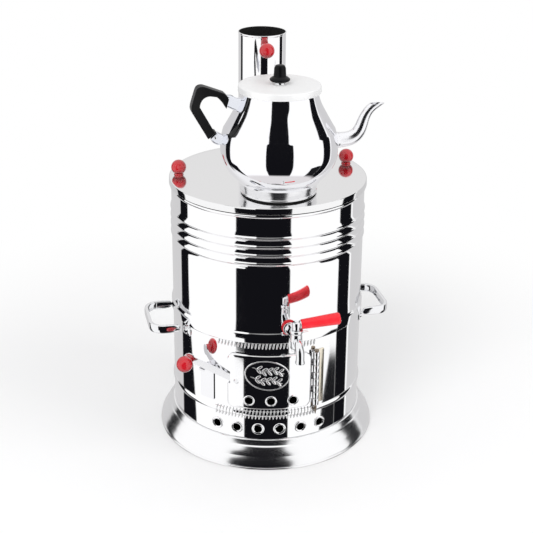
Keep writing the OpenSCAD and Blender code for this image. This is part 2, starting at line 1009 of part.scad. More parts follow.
// Outline of the teapot's handle, with the tongues that the brackets hold.
module handle_profile() {
  difference() {
    polygon(concat(
      [[-61.5, 121.5], [-63.4, 125.6], [-66.8, 129], [-86, 136.4]],
      bend_path([-90.5, 138], [-97.6, 139.2], [-99.6, 133.4], 6),
      [[-104.6, 117.4]],
      bend_path([-105.2, 114.4], [-105.9, 110.6], [-104.2, 107.4], 4),
      [[-84.4, 72.4], [-81.6, 69], [-72.5, 78.6], [-76.2, 83.8]],
      [[-64.6, 110.6]]
    ));
    polygon(concat(
      bend_path([-95.4, 114.2], [-94, 125.8], [-83.6, 126.4], 6),
      bend_path([-76, 125.2], [-70.6, 121.6], [-63.6, 109.4], 6),
      [[-60, 100], [-70, 84], [-77.4, 82.2], [-78.8, 84.2]]
    ));
  }
}

// Draws a flat shape upright in the plane of spout and handle.
module upright(t) {
  translate([0, t / 2, 0])
    rotate([90, 0, 0])
      linear_extrude(height = t)
        children();
}

module pin_bores(r) {
  for (p = [[-65.2, 0, 118.6], [-77.6, 0, 76.6]])
    translate(p)
      rotate([90, 0, 0])
        cylinder(h = 13, r = r, center = true, $fn = 48);
}

module teapot_handle() {
  color([0.03, 0.03, 0.035])
    pot_place()
      difference() {
        union() {
          upright(tongue_t)
            handle_profile();
          upright(handle_t)
            difference() {
              handle_profile();
              polygon([[-50, 100], [-68.4, 104], [-69.4, 140], [-50, 140]]);
              polygon([[-90, 60], [-87, 76.6], [-75.2, 86.4], [-60, 86]]);
            }
        }
        pin_bores(pot_pin_r - press / 2);
      }
}

module teapot_ferrules() {
  color([0.8, 0.81, 0.83])
    pot_place()
      difference() {
        union() {
          // Upper bracket
          upright(tongue_t + 2)
            polygon([[-40, 106], [-40, 121], [-57, 122.4], [-66.6, 126.2], [-68, 118], [-65, 111], [-58, 107]]);
          // Lower bracket
          upright(tongue_t + 2)
            polygon([[-58, 62], [-58, 77], [-66, 78.4], [-76, 83.4], [-84, 73.4], [-80, 65.4], [-66, 62]]);
        }
        // Leaves the sheet of the teapot clear
        rotate_extrude()
          polygon([[0, 40], [65.2, 55], [65.5, 60], [65.1, 68], [63.9, 75.5], [61.6, 80], [61.1, 83],
                   [55.9, 97], [50.5, 107], [47.6, 113], [45.5, 119], [44.8, 126], [0, 130]]);
        upright(tongue_t)
          handle_profile();
        pin_bores(pot_pin_r - press / 2);
      }
}

module teapot_pins() {
  color([0.7, 0.7, 0.72])
    pot_place()
      pin_bores(pot_pin_r);
}

module pot_lid() {
  top = bend_path([pot_lid_r, pot_rim + 1.6], [34, pot_rim + 5.4], [7, pot_rim + 5.4], 8);
  under = bend_path([7, pot_rim + 4.2], [34, pot_rim + 4.2], [45.4, pot_rim + 0.05], 8);
  color([0.9, 0.9, 0.9])
    pot_place()
      difference() {
        union() {
          rotate_extrude()
            polygon(concat([[0, pot_rim + 5.4], [0, pot_rim + 4.2]], under, [[pot_lid_r - 0.6, pot_rim + 0.05],
                           [pot_lid_r, pot_rim + 0.5]], top));
          ring(42.2, 43.2, pot_rim - 5, pot_rim + 1.6);
        }
        cylinder(h = pot_rim + 10, r = screw_r - press / 2, $fn = 48);
      }
}

module pot_knob() {
  neck_z = pot_rim + 5.4;
  color([0.03, 0.03, 0.035])
    pot_place()
      difference() {
        rotate_extrude()
          polygon(concat(
            [[0, neck_z], [6.6, neck_z], [6.2, neck_z + 3.2], [8.5, neck_z + 4.4]],
            bend_path([11.4, neck_z + 5.2], [13, neck_z + 7.4], [11.2, neck_z + 9.2], 4),
            [[8, neck_z + 10.6], [7, neck_z + 11.8], [6.6, neck_z + 20]],
            bend_path([6.4, neck_z + 21.6], [5.8, neck_z + 24.6], [2.5, neck_z + 25], 4),
            [[0, neck_z + 25.1]]
          ));
        translate([0, 0, neck_z - 1])
          cylinder(h = 12, r = screw_r - press / 2, $fn = 48);
      }
}

module pot_screw() {
  color([0.7, 0.7, 0.72])
    pot_place()
      union() {
        translate([0, 0, pot_rim + 2.3])
          cylinder(h = 2, r = 4);
        translate([0, 0, pot_rim + 4])
          cylinder(h = 10, r = screw_r, $fn = 48);
      }
}

base_ring();
base_plate();
firebox_casing();
grate_ledge();
fire_grate();
tank_shell();
tank_floor();
flue_tube();
handle_left();
handle_right();
handle_rivets();
hinge_leaf();
hinge_pin();
latch_keeper();
tap_body();
tap_seal();
tap_backnut();
door_panel();
latch_rivet();
latch_lever();
latch_knob();
tap_plug();
tap_grip();
tap_nut();
lid_disc();
lid_knobs();
lid_screws();
chimney_pipe();
chimney_knob();
chimney_stud();
teapot_body();
teapot_foot();
teapot_spout();
teapot_handle();
teapot_ferrules();
teapot_pins();
pot_lid();
pot_knob();
pot_screw();
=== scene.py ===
"""Charcoal samovar: the dressed model, its finishes, the studio and the camera.

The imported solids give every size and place. Each class builds one sub-assembly over its
own solids and hands its pieces to the body that carries them. The samovar's sizes are
written in millimetres and its angles in degrees; a mesh is made in metres.
"""

from __future__ import annotations

import json
import logging
import math
from dataclasses import dataclass
from enum import Enum
from typing import Callable, Iterable, Sequence, Union

import bmesh
import bpy
from mathutils import Matrix, Vector

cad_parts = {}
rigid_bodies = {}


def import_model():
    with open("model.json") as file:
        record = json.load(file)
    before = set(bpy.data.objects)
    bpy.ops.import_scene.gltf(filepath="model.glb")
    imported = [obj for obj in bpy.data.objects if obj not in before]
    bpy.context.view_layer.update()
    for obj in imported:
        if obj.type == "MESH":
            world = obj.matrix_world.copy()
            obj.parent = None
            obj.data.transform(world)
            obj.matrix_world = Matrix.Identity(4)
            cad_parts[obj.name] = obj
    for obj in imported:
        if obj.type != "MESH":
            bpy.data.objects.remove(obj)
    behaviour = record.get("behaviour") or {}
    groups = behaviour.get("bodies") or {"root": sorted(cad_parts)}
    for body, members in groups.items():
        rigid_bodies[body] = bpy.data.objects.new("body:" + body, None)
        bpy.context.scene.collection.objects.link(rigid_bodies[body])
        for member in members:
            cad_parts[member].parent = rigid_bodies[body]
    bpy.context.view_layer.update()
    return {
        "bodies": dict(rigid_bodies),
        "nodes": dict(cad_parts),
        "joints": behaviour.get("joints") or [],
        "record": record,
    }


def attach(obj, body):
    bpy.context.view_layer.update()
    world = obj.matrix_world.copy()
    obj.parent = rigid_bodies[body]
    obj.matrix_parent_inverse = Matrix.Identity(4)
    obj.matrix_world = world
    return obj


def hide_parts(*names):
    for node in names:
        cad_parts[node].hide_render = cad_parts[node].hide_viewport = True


LOG = logging.getLogger("samovar")
MM = 0.001

Pair = tuple[float, float]
Point = tuple[float, float, float]
Number = Union[float, "Sig"]

# What several sub-assemblies share, in millimetres and degrees.
BODY_R = 120.0
AIR_R = 4.9
DOOR_TURN = -11.0
DOOR_Z = 113.0
GRIP_Z = 156.0
TAP_Z = 186.0
PIPE_AT: Pair = (0.0, 38.5)
POT_AT: Pair = (-1.5, -63.0)


# ---- shader maths ----


class Sig:
    """An output socket of a shader tree, on which Python's operators add nodes."""

    def __init__(self, tree: "Tree", socket: bpy.types.NodeSocket) -> None:
        """Keeps the socket and the tree that it belongs to."""
        self.tree = tree
        self.socket = socket

    def __add__(self, other: Number) -> "Sig":
        """Adds a value or another signal."""
        return self.tree.math("ADD", self, other)

    def __radd__(self, other: Number) -> "Sig":
        """Adds to a value on the left."""
        return self.tree.math("ADD", other, self)

    def __sub__(self, other: Number) -> "Sig":
        """Takes a value or another signal away."""
        return self.tree.math("SUBTRACT", self, other)

    def __rsub__(self, other: Number) -> "Sig":
        """Takes this signal away from a value."""
        return self.tree.math("SUBTRACT", other, self)

    def __mul__(self, other: Number) -> "Sig":
        """Multiplies by a value or another signal."""
        return self.tree.math("MULTIPLY", self, other)

    def __rmul__(self, other: Number) -> "Sig":
        """Multiplies a value on the left."""
        return self.tree.math("MULTIPLY", other, self)

    def step(self, low: Number, high: Number) -> "Sig":
        """A smooth rise from 0 at low to 1 at high."""
        return self.tree.rise(self, low, high)


class Tree:
    """A node tree of a material or of the world."""

    def __init__(self, tree: bpy.types.NodeTree) -> None:
        """Clears the tree, so that only this script's nodes are in it."""
        self.tree = tree
        self.tree.nodes.clear()

    def node(
        self,
        kind: str,
        settings: dict[str, object] | None = None,
        sockets: dict[object, object] | None = None,
    ) -> bpy.types.Node:
        """Adds a node.

        Args:
            kind: The type of the node, without its ShaderNode prefix.
            settings: What is set on the node itself.
            sockets: A value, a signal or a socket for each input.

        Returns:
            The new node.
        """
        made = self.tree.nodes.new("ShaderNode" + kind)
        for key, value in (settings or {}).items():
            setattr(made, key, value)
        for key, value in (sockets or {}).items():
            self.feed(made.inputs[key], value)
        return made

    def feed(self, socket: bpy.types.NodeSocket, value: object) -> None:
        """Links or sets one input socket.

        Args:
            socket: The input.
            value: A signal or a socket to link, or a value to set; a colour may have three parts.
        """
        if isinstance(value, Sig):
            self.tree.links.new(value.socket, socket)
        elif isinstance(value, bpy.types.NodeSocket):
            self.tree.links.new(value, socket)
        elif isinstance(value, tuple) and socket.type == "RGBA" and len(value) == 3:
            socket.default_value = (*value, 1.0)
        else:
            socket.default_value = value

    def out(self, node: bpy.types.Node, name: object = 0) -> Sig:
        """Wraps one output of a node."""
        return Sig(self, node.outputs[name])

    def place(self) -> Sig:
        """Reads the place on the piece, in metres."""
        return self.out(self.node("TexCoord"), "Object")

    def math(self, operation: str, *values: Number) -> Sig:
        """Adds one Math node on up to three values."""
        made = self.node("Math", {"operation": operation}, dict(enumerate(values)))
        return self.out(made)

    def rise(self, value: Number, low: Number, high: Number) -> Sig:
        """Maps the range from low to high smoothly onto 0 to 1, clamped."""
        how = {"interpolation_type": "SMOOTHSTEP", "clamp": True}
        return self.out(self.node("MapRange", how, {0: value, 1: low, 2: high, 3: 0.0, 4: 1.0}))

    def vector(self, operation: str, *values: object) -> bpy.types.Node:
        """Adds one Vector Math node."""
        return self.node("VectorMath", {"operation": operation}, dict(enumerate(values)))

    def blend(self, factor: Number, a: object, b: object) -> Sig:
        """Mixes two colours."""
        made = self.node("Mix", {"data_type": "RGBA"}, {0: factor, 6: a, 7: b})
        return self.out(made, 2)

    def noise(self, at: Sig, scale: float, detail: float, rough: float) -> Sig:
        """Adds a noise pattern with values around one half."""
        sockets = {"Vector": at, "Scale": scale, "Detail": detail, "Roughness": rough}
        return self.out(self.node("TexNoise", {"noise_dimensions": "3D"}, sockets), "Fac")

    def surface(self, height: Sig, sockets: dict[object, object]) -> None:
        """Adds the bump, the shader and the output of a solid finish.

        Args:
            height: The relief, in metres.
            sockets: A value or a signal for each input of the shader.
        """
        bump = self.node("Bump", None, {"Strength": 1.0, "Distance": 1.0, "Height": height})
        shader = self.node("BsdfPrincipled", None, {**sockets, "Normal": bump.outputs[0]})
        self.node("OutputMaterial", None, {"Surface": shader.outputs[0]})


def band(value: Sig, low: Number, high: Number, soft: float) -> Sig:
    """Is 1 between two limits and falls off over a soft edge.

    Args:
        value: The signal that is tested.
        low: Where the band starts.
        high: Where it ends.
        soft: Half of the width of each edge.

    Returns:
        The band as a signal from 0 to 1.
    """
    rise = value.step(low - soft, low + soft)
    fall = 1.0 - value.step(high - soft, high + soft)
    return rise * fall


# ---- finishes ----


class Grain(Enum):
    """The way in which the marks of the last polish run."""

    NONE = "none"
    TURNED = "turned"
    UPRIGHT = "upright"


@dataclass(frozen=True)
class Finish:
    """What every finish has: its name and its main colour."""

    name: str
    tint: Point

    def begin(self) -> tuple[bpy.types.Material, Tree]:
        """Makes the empty material.

        Returns:
            The material and its tree.
        """
        material = bpy.data.materials.new(self.name)
        material.use_nodes = True
        return material, Tree(material.node_tree)


@dataclass(frozen=True)
class Metal(Finish):
    """Bare or plated metal with the marks of its polish, a little haze and a little warp.

    A higher grain_scale gives finer marks; grain_depth and warp are heights in metres.
    """

    rough: float
    haze: float = 0.03
    grain: Grain = Grain.NONE
    grain_scale: float = 900.0
    grain_depth: float = 0.0
    warp: float = 0.0
    warp_scale: float = 14.0
    centre: Pair = (0.0, 0.0)
    stain: Point | None = None
    stain_share: float = 0.5
    metallic: float = 1.0

    def lines(self, t: Tree, place: Sig) -> Sig:
        """Draws the marks of the polish round or along the piece's axis.

        Args:
            t: The tree of the material.
            place: The place on the piece, in metres.

        Returns:
            The marks as a signal around one half.
        """
        split = t.node("SeparateXYZ", None, {0: place})
        x = t.out(split, 0) - self.centre[0] * MM
        y = t.out(split, 1) - self.centre[1] * MM
        z = t.out(split, 2)
        radius = t.math("SQRT", x * x + y * y)
        if self.grain is Grain.TURNED:
            along = t.node("CombineXYZ", None, {0: radius, 1: z, 2: 0.0})
        else:
            turn = t.math("ARCTAN2", y, x) * (BODY_R * MM)
            along = t.node("CombineXYZ", None, {0: turn, 1: radius * 0.02, 2: z * 0.01})
        return t.noise(t.out(along), self.grain_scale, detail=3.0, rough=0.7)

    def make(self) -> bpy.types.Material:
        """Builds the material.

        Returns:
            The material.
        """
        material, t = self.begin()
        place = t.place()
        clouds = t.noise(place, 24.0, detail=4.0, rough=0.6)
        tint: object = self.tint
        if self.stain is not None:
            spots = t.noise(place, 55.0, detail=6.0, rough=0.65)
            tint = t.blend(spots.step(0.62 - 0.3 * self.stain_share, 0.7), self.tint, self.stain)
        height = t.noise(place, self.warp_scale, detail=1.0, rough=0.4) * self.warp
        rough = self.rough + self.haze * (clouds - 0.45)
        if self.grain is not Grain.NONE:
            lines = self.lines(t, place)
            height = height + lines * self.grain_depth
            rough = rough + 0.5 * self.haze * (lines - 0.5)
        rough = t.math("MAXIMUM", rough, 0.02)
        t.surface(height, {"Base Color": tint, "Metallic": self.metallic, "Roughness": rough})
        return material


@dataclass(frozen=True)
class Moulded(Finish):
    """Cast or moulded plastic with a slight orange peel and a mottled colour; shade paints a darker
    colour on its underside.
    """

    deep: Point
    rough: float = 0.16
    coat: float = 0.6
    specular: float = 0.5
    shade: float = 0.0

    def make(self) -> bpy.types.Material:
        """Builds the material.

        Returns:
            The material.
        """
        material, t = self.begin()
        place = t.place()
        swirl = t.noise(place, 60.0, detail=3.0, rough=0.55).step(0.3, 0.7)
        tint = t.blend(swirl, self.deep, self.tint)
        # Painted shade: where shade is set, faces that look down get a darker colour.
        if self.shade:
            normal = t.out(t.node("NewGeometry"), "Normal")
            upward = t.out(t.node("SeparateXYZ", None, {0: normal}), "Z")
            under = tuple(0.3 * part for part in self.deep)
            lit = upward.step(-0.9, -0.05) * self.shade + (1.0 - self.shade)
            tint = t.blend(lit, under, tint)
        rub = t.noise(place, 180.0, detail=3.0, rough=0.6)
        peel = t.noise(place, 900.0, detail=1.0, rough=0.4) * 4e-6
        t.surface(peel, {
            "Base Color": tint,
            "Roughness": self.rough + 0.1 * (rub - 0.5),
            "Coat Weight": self.coat,
            "Coat Roughness": 0.04,
            "Specular IOR Level": self.specular,
        })
        return material


@dataclass(frozen=True)
class Sooty(Finish):
    """Iron or sheet that fire has darkened: rough, with scale and ash. Its near-black kind also
    serves as painted shade.
    """

    ash: Point
    rough: float = 0.75
    metallic: float = 0.4

    def make(self) -> bpy.types.Material:
        """Builds the material.

        Returns:
            The material.
        """
        material, t = self.begin()
        place = t.place()
        patch = t.noise(place, 40.0, detail=6.0, rough=0.65)
        grit = t.noise(place, 700.0, detail=2.0, rough=0.6)
        t.surface(grit * 1e-4, {
            "Base Color": t.blend(patch.step(0.45, 0.75), self.tint, self.ash),
            "Metallic": self.metallic,
            "Roughness": self.rough + 0.2 * (grit - 0.5),
        })
        return material


class Finishes:
    """Every finish of the samovar, made once."""

    def __init__(self) -> None:
        """Builds the materials."""
        steel = (0.93, 0.93, 0.94)
        kinds = (
            Metal("mirror_steel", steel, 0.045, 0.03, Grain.TURNED,
                  grain_scale=260.0, grain_depth=2.2e-6, warp=1.6e-5, warp_scale=9.0),
            Metal("door_steel", steel, 0.05, 0.03, Grain.UPRIGHT,
                  grain_scale=400.0, grain_depth=1e-6, warp=4e-5, warp_scale=16.0),
            Metal("lid_steel", (0.86, 0.86, 0.865), 0.06, 0.04, Grain.TURNED,
                  grain_scale=500.0, grain_depth=1.5e-6, warp=1e-5, warp_scale=8.0),
            Metal("turned_steel", (0.92, 0.92, 0.93), 0.16, 0.06, Grain.TURNED,
                  grain_scale=1500.0, grain_depth=5e-6, warp=1e-5, warp_scale=9.0),
            Metal("tube_steel", steel, 0.05, 0.02, Grain.TURNED,
                  grain_scale=500.0, grain_depth=1e-6, warp=5e-6, warp_scale=9.0, centre=PIPE_AT),
            Metal("chrome", (0.84, 0.845, 0.86), 0.06, 0.03, warp=1.2e-5, warp_scale=60.0),
            Metal("pressed_steel", (0.88, 0.88, 0.9), 0.1, 0.05, warp=3e-5, warp_scale=40.0),
            Metal("hinge_brass", (0.85, 0.78, 0.65), 0.26, 0.1, Grain.UPRIGHT,
                  grain_scale=500.0, grain_depth=3e-6, warp=2e-5, warp_scale=30.0),
            Metal("worn_pin", (0.33, 0.27, 0.21), 0.36, 0.1, stain=(0.12, 0.09, 0.07)),
            Metal("nut_brass", (0.72, 0.57, 0.3), 0.3, 0.1,
                  stain=(0.35, 0.26, 0.14), stain_share=0.4),
            Metal("inner_steel", (0.5, 0.5, 0.5), 0.36, 0.1, stain=(0.2, 0.18, 0.16)),
            Metal("pot_polish", (0.93, 0.93, 0.955), 0.05, 0.04, Grain.TURNED,
                  grain_scale=420.0, grain_depth=3.5e-6, warp=8e-6, warp_scale=9.0, centre=POT_AT),
            Metal("pot_turned", (0.86, 0.86, 0.875), 0.2, 0.08, Grain.TURNED,
                  grain_scale=1300.0, grain_depth=8e-6, warp=1e-5, warp_scale=9.0, centre=POT_AT),
            Metal("pot_satin", (0.9, 0.9, 0.9), 0.5, 0.1, Grain.TURNED, grain_scale=1600.0,
                  grain_depth=6e-6, warp=1e-5, warp_scale=9.0, centre=POT_AT, metallic=0.25),
            Metal("bracket_chrome", (0.76, 0.78, 0.84), 0.1, 0.05, warp=3.2e-5, warp_scale=110.0),
            Metal("spout_steel", (0.9, 0.9, 0.925), 0.2, 0.06, warp=8e-6, warp_scale=40.0),
            # The red balls carry painted shade on their undersides.
            Moulded("red_ball", (0.6, 0.010, 0.020), (0.5, 0.006, 0.014), shade=0.8),
            Moulded("red_grip", (0.96, 0.018, 0.035), (0.86, 0.01, 0.022), 0.3, 0.15),
            Moulded("red_seal", (0.72, 0.02, 0.03), (0.5, 0.01, 0.02), 0.5, 0.0),
            Moulded("black_bakelite", (0.005, 0.005, 0.006), (0.003, 0.003, 0.0035), 0.3, 0.0,
                    specular=0.14),
            Sooty("grate_iron", (0.03, 0.028, 0.026), (0.12, 0.11, 0.1)),
            # Near-black: soot inside the firebox and chimney, and painted shade on the tank's bead
            # and under the teapot's foot.
            Sooty("soot_and_shade", (0.006, 0.006, 0.006), (0.014, 0.013, 0.012), 0.9, 0.0),
        )
        self.made = {kind.name: kind.make() for kind in kinds}

    def __getitem__(self, name: str) -> bpy.types.Material:
        """Gives a finish by its name."""
        return self.made[name]


# ---- outlines and places ----


def bow(a: Pair, b: Pair, c: Pair, steps: int) -> list[Pair]:
    """Points on the curve of second degree from a to c that is drawn toward b.

    Args:
        a: Where the curve starts.
        b: The point that draws it.
        c: Where it ends.
        steps: How many steps it takes.

    Returns:
        The points, with both ends.
    """
    found = []
    for n in range(steps + 1):
        t = n / steps
        p, q, r = (1 - t) ** 2, 2 * t * (1 - t), t * t
        found.append((p * a[0] + q * b[0] + r * c[0], p * a[1] + q * b[1] + r * c[1]))
    return found


def eased(corners: Sequence[Point], steps: int = 5, closed: bool = True) -> list[Pair]:
    """Rounds the corners of an outline.

    Args:
        corners: For each corner its radius from the axis, its height and its rounding.
        steps: How many steps each rounding takes.
        closed: Whether the last corner joins the first.

    Returns:
        The outline's points.
    """
    found: list[Pair] = []
    count = len(corners)
    for n, (x, y, ease) in enumerate(corners):
        ends = not closed and n in (0, count - 1)
        if ease <= 0 or ends:
            found.append((x, y))
            continue
        here = Vector((x, y))
        back = Vector(corners[n - 1][:2]) - here
        ahead = Vector(corners[(n + 1) % count][:2]) - here
        turn = back.angle(ahead)
        reach = min(ease / math.tan(turn / 2), 0.49 * back.length, 0.49 * ahead.length)
        start = here + back.normalized() * reach
        end = here + ahead.normalized() * reach
        found += bow(tuple(start), (x, y), tuple(end), steps)
    return found


def arc(x: float, y: float, r: float, start: float, end: float, steps: int) -> list[Pair]:
    """Points on a circle from one angle to another.

    Args:
        x: The middle's first coordinate.
        y: Its second one.
        r: The radius.
        start: The first angle.
        end: The last one.
        steps: How many steps lie between them.

    Returns:
        The points, with both ends.
    """
    turns = [math.radians(start + (end - start) * n / steps) for n in range(steps + 1)]
    return [(x + r * math.cos(turn), y + r * math.sin(turn)) for turn in turns]


def round_box(w: float, h: float, r: float, steps: int = 10, across: int = 0) -> list[Pair]:
    """Points of a rectangle with round corners about the origin, from the right side on.

    Args:
        w: Its width.
        h: Its height.
        r: Its corner's radius.
        steps: Steps in each corner.
        across: Points set along each of the two level sides, for a sheet that is bent later.

    Returns:
        The outline's points.
    """
    found: list[Pair] = []
    for sx, sy, start in ((1, 1, 0), (-1, 1, 90), (-1, -1, 180), (1, -1, 270)):
        x, y = sx * (w / 2 - r), sy * (h / 2 - r)
        found += arc(x, y, r, start, start + 90, steps)
        if start in (0, 180):
            found += [(x * (1 - 2 * (n + 1) / (across + 1)), sy * h / 2) for n in range(across)]
    return found


def upright(outline: Iterable[Pair], y: float, z: float = 0.0) -> list[Point]:
    """Stands a flat outline up, for a station of a loft.

    Args:
        outline: Points with their width and height, in millimetres.
        y: How far back the outline stands.
        z: How far it is lifted.

    Returns:
        The points in metres.
    """
    return [(across * MM, y * MM, (high + z) * MM) for across, high in outline]


def oval(wide: float, tall: float, count: int) -> list[Pair]:
    """Points of an oval about the origin, by its two half widths."""
    turns = [math.radians(360 / count * n) for n in range(count)]
    return [(wide * math.cos(turn), tall * math.sin(turn)) for turn in turns]


def shift(x: float, y: float, z: float) -> Matrix:
    """A move in millimetres."""
    return Matrix.Translation((x * MM, y * MM, z * MM))


def turned(angle: float, axis: str = "Z") -> Matrix:
    """A turn in degrees about an axis through the origin."""
    return Matrix.Rotation(math.radians(angle), 4, axis)


def spoke(turn: float, radius: float, z: float) -> Matrix:
    """The place of a piece that is made along +Z and points outward from the body.

    Args:
        turn: Angle from the front toward +X.
        radius: Distance of the piece's own origin from the body's axis.
        z: Height.

    Returns:
        The matrix that takes the piece there.
    """
    return turned(turn) @ shift(0, -radius, z) @ turned(90, "X")


# ---- modelling moves ----


class Bench:
    """The modelling moves that every sub-assembly shares, made with Blender's own operators."""

    @staticmethod
    def clear() -> None:
        """Leaves edit mode and deselects everything."""
        if bpy.context.object and bpy.context.object.mode != "OBJECT":
            bpy.ops.object.mode_set(mode="OBJECT")
        bpy.ops.object.select_all(action="DESELECT")

    @classmethod
    def only(cls, obj: bpy.types.Object) -> None:
        """Selects one object and makes it active."""
        cls.clear()
        obj.select_set(True)
        bpy.context.view_layer.objects.active = obj

    @staticmethod
    def edit() -> None:
        """Enters edit mode on the active object with all its points selected."""
        bpy.ops.object.mode_set(mode="EDIT")
        bpy.ops.mesh.select_mode(type="VERT")
        bpy.ops.mesh.select_all(action="SELECT")

    @classmethod
    def close(cls, obj: bpy.types.Object, smooth: float = 40.0) -> bpy.types.Object:
        """Merges doubles, turns the faces outward and shades by angle.

        Args:
            obj: The piece.
            smooth: The angle below which faces are shaded as one.

        Returns:
            The same piece.
        """
        cls.only(obj)
        cls.edit()
        bpy.ops.mesh.remove_doubles(threshold=2e-6)
        bpy.ops.mesh.normals_make_consistent(inside=False)
        bpy.ops.object.mode_set(mode="OBJECT")
        bpy.ops.object.shade_smooth_by_angle(angle=math.radians(smooth))
        return obj

    @classmethod
    def place(cls, obj: bpy.types.Object, matrix: Matrix) -> bpy.types.Object:
        """Moves a piece and puts its place into its mesh.

        Args:
            obj: The piece.
            matrix: The move.

        Returns:
            The same piece.
        """
        cls.only(obj)
        obj.matrix_world = matrix @ obj.matrix_world
        bpy.ops.object.transform_apply(location=True, rotation=True, scale=True)
        return obj

    @classmethod
    def lathe(
        cls,
        name: str,
        outline: Sequence[Pair],
        centre: Pair = (0.0, 0.0),
        steps: int = 192,
        smooth: float = 40.0,
        closed: bool = True,
    ) -> bpy.types.Object:
        """Spins an outline round an upright axis.

        Args:
            name: The piece's name.
            outline: Radius and height of each point.
            centre: Where the axis stands.
            steps: How many steps the spin takes.
            smooth: The angle below which faces are shaded as one.
            closed: Whether the outline is closed to a ring.

        Returns:
            The finished piece.
        """
        cls.clear()
        bpy.ops.mesh.primitive_plane_add(size=0.001, location=(0, 0, 0))
        obj = bpy.context.object
        obj.name = obj.data.name = name
        cls.edit()
        bpy.ops.mesh.merge(type="CENTER")
        path = list(outline) + ([outline[0]] if closed else [])
        bpy.ops.transform.translate(value=(path[0][0] * MM, 0, path[0][1] * MM))
        for a, b in zip(path, path[1:]):
            move = ((b[0] - a[0]) * MM, 0, (b[1] - a[1]) * MM)
            bpy.ops.mesh.extrude_region_move(TRANSFORM_OT_translate={"value": move})
        bpy.ops.mesh.select_all(action="SELECT")
        bpy.ops.mesh.spin(
            steps=steps, angle=2 * math.pi, center=(0, 0, 0), axis=(0, 0, 1), use_auto_merge=True
        )
        cls.close(obj, smooth)
        if centre != (0.0, 0.0):
            cls.place(obj, shift(*centre, 0))
        return obj

    @classmethod
    def loft(
        cls,
        name: str,
        rings: Sequence[Sequence[Point]],
        smooth: float = 40.0,
        capped: bool = True,
        looped: bool = False,
    ) -> bpy.types.Object:
        """Extrudes a ring from station to station.

        Args:
            name: The piece's name.
            rings: The points of each station, in metres, all of one count.
            smooth: The angle below which faces are shaded as one.
            capped: Whether both ends get a face.
            looped: Whether the last station joins the first.

        Returns:
            The finished piece.
        """
        cls.clear()
        count = len(rings[0])
        bpy.ops.mesh.primitive_circle_add(
            vertices=count, radius=1.0, fill_type="NOTHING", location=(0, 0, 0)
        )
        obj = bpy.context.object
        obj.name = obj.data.name = name
        for vertex, point in zip(obj.data.vertices, rings[0]):
            vertex.co = point
        number = obj.data.attributes.new("number", "INT", "POINT")
        for n in range(count):
            number.data[n].value = n
        cls.edit()
        if capped:
            bpy.ops.mesh.edge_face_add()
            bpy.ops.mesh.select_all(action="SELECT")
        for ring in list(rings[1:]) + ([rings[0]] if looped else []):
            bpy.ops.mesh.extrude_region_move()
            mesh = bmesh.from_edit_mesh(obj.data)
            layer = mesh.verts.layers.int["number"]
            for vertex in mesh.verts:
                if vertex.select:
                    vertex.co = ring[vertex[layer]]
            bmesh.update_edit_mesh(obj.data)
        bpy.ops.object.mode_set(mode="OBJECT")
        obj.data.attributes.remove(obj.data.attributes["number"])
        return cls.close(obj, smooth)

    @classmethod
    def finish(cls, obj: bpy.types.Object, kind: str, **settings: object) -> bpy.types.Object:
        """Adds one modifier and applies it.

        Args:
            obj: The piece.
            kind: The modifier's type.
            **settings: What is set on the modifier.

        Returns:
            The same piece.
        """
        cls.only(obj)
        made = obj.modifiers.new(kind.lower(), kind)
        for key, value in settings.items():
            setattr(made, key, value)
        bpy.ops.object.modifier_apply(modifier=made.name)
        return obj

    @classmethod
    def bevel(cls, obj: bpy.types.Object, width: float, angle: float) -> bpy.types.Object:
        """Rounds the edges of a block, then closes it.

        Args:
            obj: The block.
            width: How far the rounding reaches.
            angle: The angle from which an edge counts as sharp.

        Returns:
            The same block.
        """
        settings = {"limit_method": "ANGLE", "angle_limit": math.radians(angle)}
        cls.finish(obj, "BEVEL", width=width * MM, segments=4, **settings)
        return cls.close(obj, 38)

    @classmethod
    def cut(cls, obj: bpy.types.Object, tool: bpy.types.Object) -> bpy.types.Object:
        """Takes one solid out of another and throws the tool away.

        Args:
            obj: The solid that stays.
            tool: The solid that is taken out.

        Returns:
            The solid that stays.
        """
        cls.finish(obj, "BOOLEAN", operation="DIFFERENCE", solver="EXACT", object=tool)
        bpy.data.objects.remove(tool)
        return obj

    @classmethod
    def bore(cls, obj: bpy.types.Object, radius: float, reach: float, place: Matrix) -> None:
        """Drills a round hole.

        Args:
            obj: The solid.
            radius: The hole's radius.
            reach: How far the drill goes to either side of its place.
            place: The middle of the hole and its direction.
        """
        outline = [(0, -reach), (radius, -reach), (radius, reach), (0, reach)]
        cls.cut(obj, cls.place(cls.lathe("drill", outline, steps=48), place))

    @classmethod
    def join(cls, name: str, parts: Sequence[bpy.types.Object]) -> bpy.types.Object:
        """Makes one piece of several.

        Args:
            name: The new piece's name.
            parts: The pieces, of which the first one stays.

        Returns:
            The joined piece.
        """
        cls.clear()
        for part in parts:
            part.select_set(True)
        bpy.context.view_layer.objects.active = parts[0]
        bpy.ops.object.join()
        obj = bpy.context.object
        obj.name = obj.data.name = name
        return obj

    @classmethod
    def copy(cls, obj: bpy.types.Object, matrix: Matrix) -> bpy.types.Object:
        """Copies a piece with a mesh of its own and moves the copy.

        Args:
            obj: The piece.
            matrix: The copy's move.

        Returns:
            The copy.
        """
        twin = obj.copy()
        twin.data = obj.data.copy()
        bpy.context.collection.objects.link(twin)
        return cls.place(twin, matrix)

    @classmethod
    def repeat(
        cls, name: str, first: bpy.types.Object, places: Iterable[Matrix]
    ) -> bpy.types.Object:
        """Sets one shape at several places, as one piece.

        Args:
            name: The new piece's name.
            first: The shape, which is thrown away in the end.
            places: Where each copy goes.

        Returns:
            The joined piece.
        """
        made = [cls.copy(first, place) for place in places]
        bpy.data.objects.remove(first)
        return cls.join(name, made)

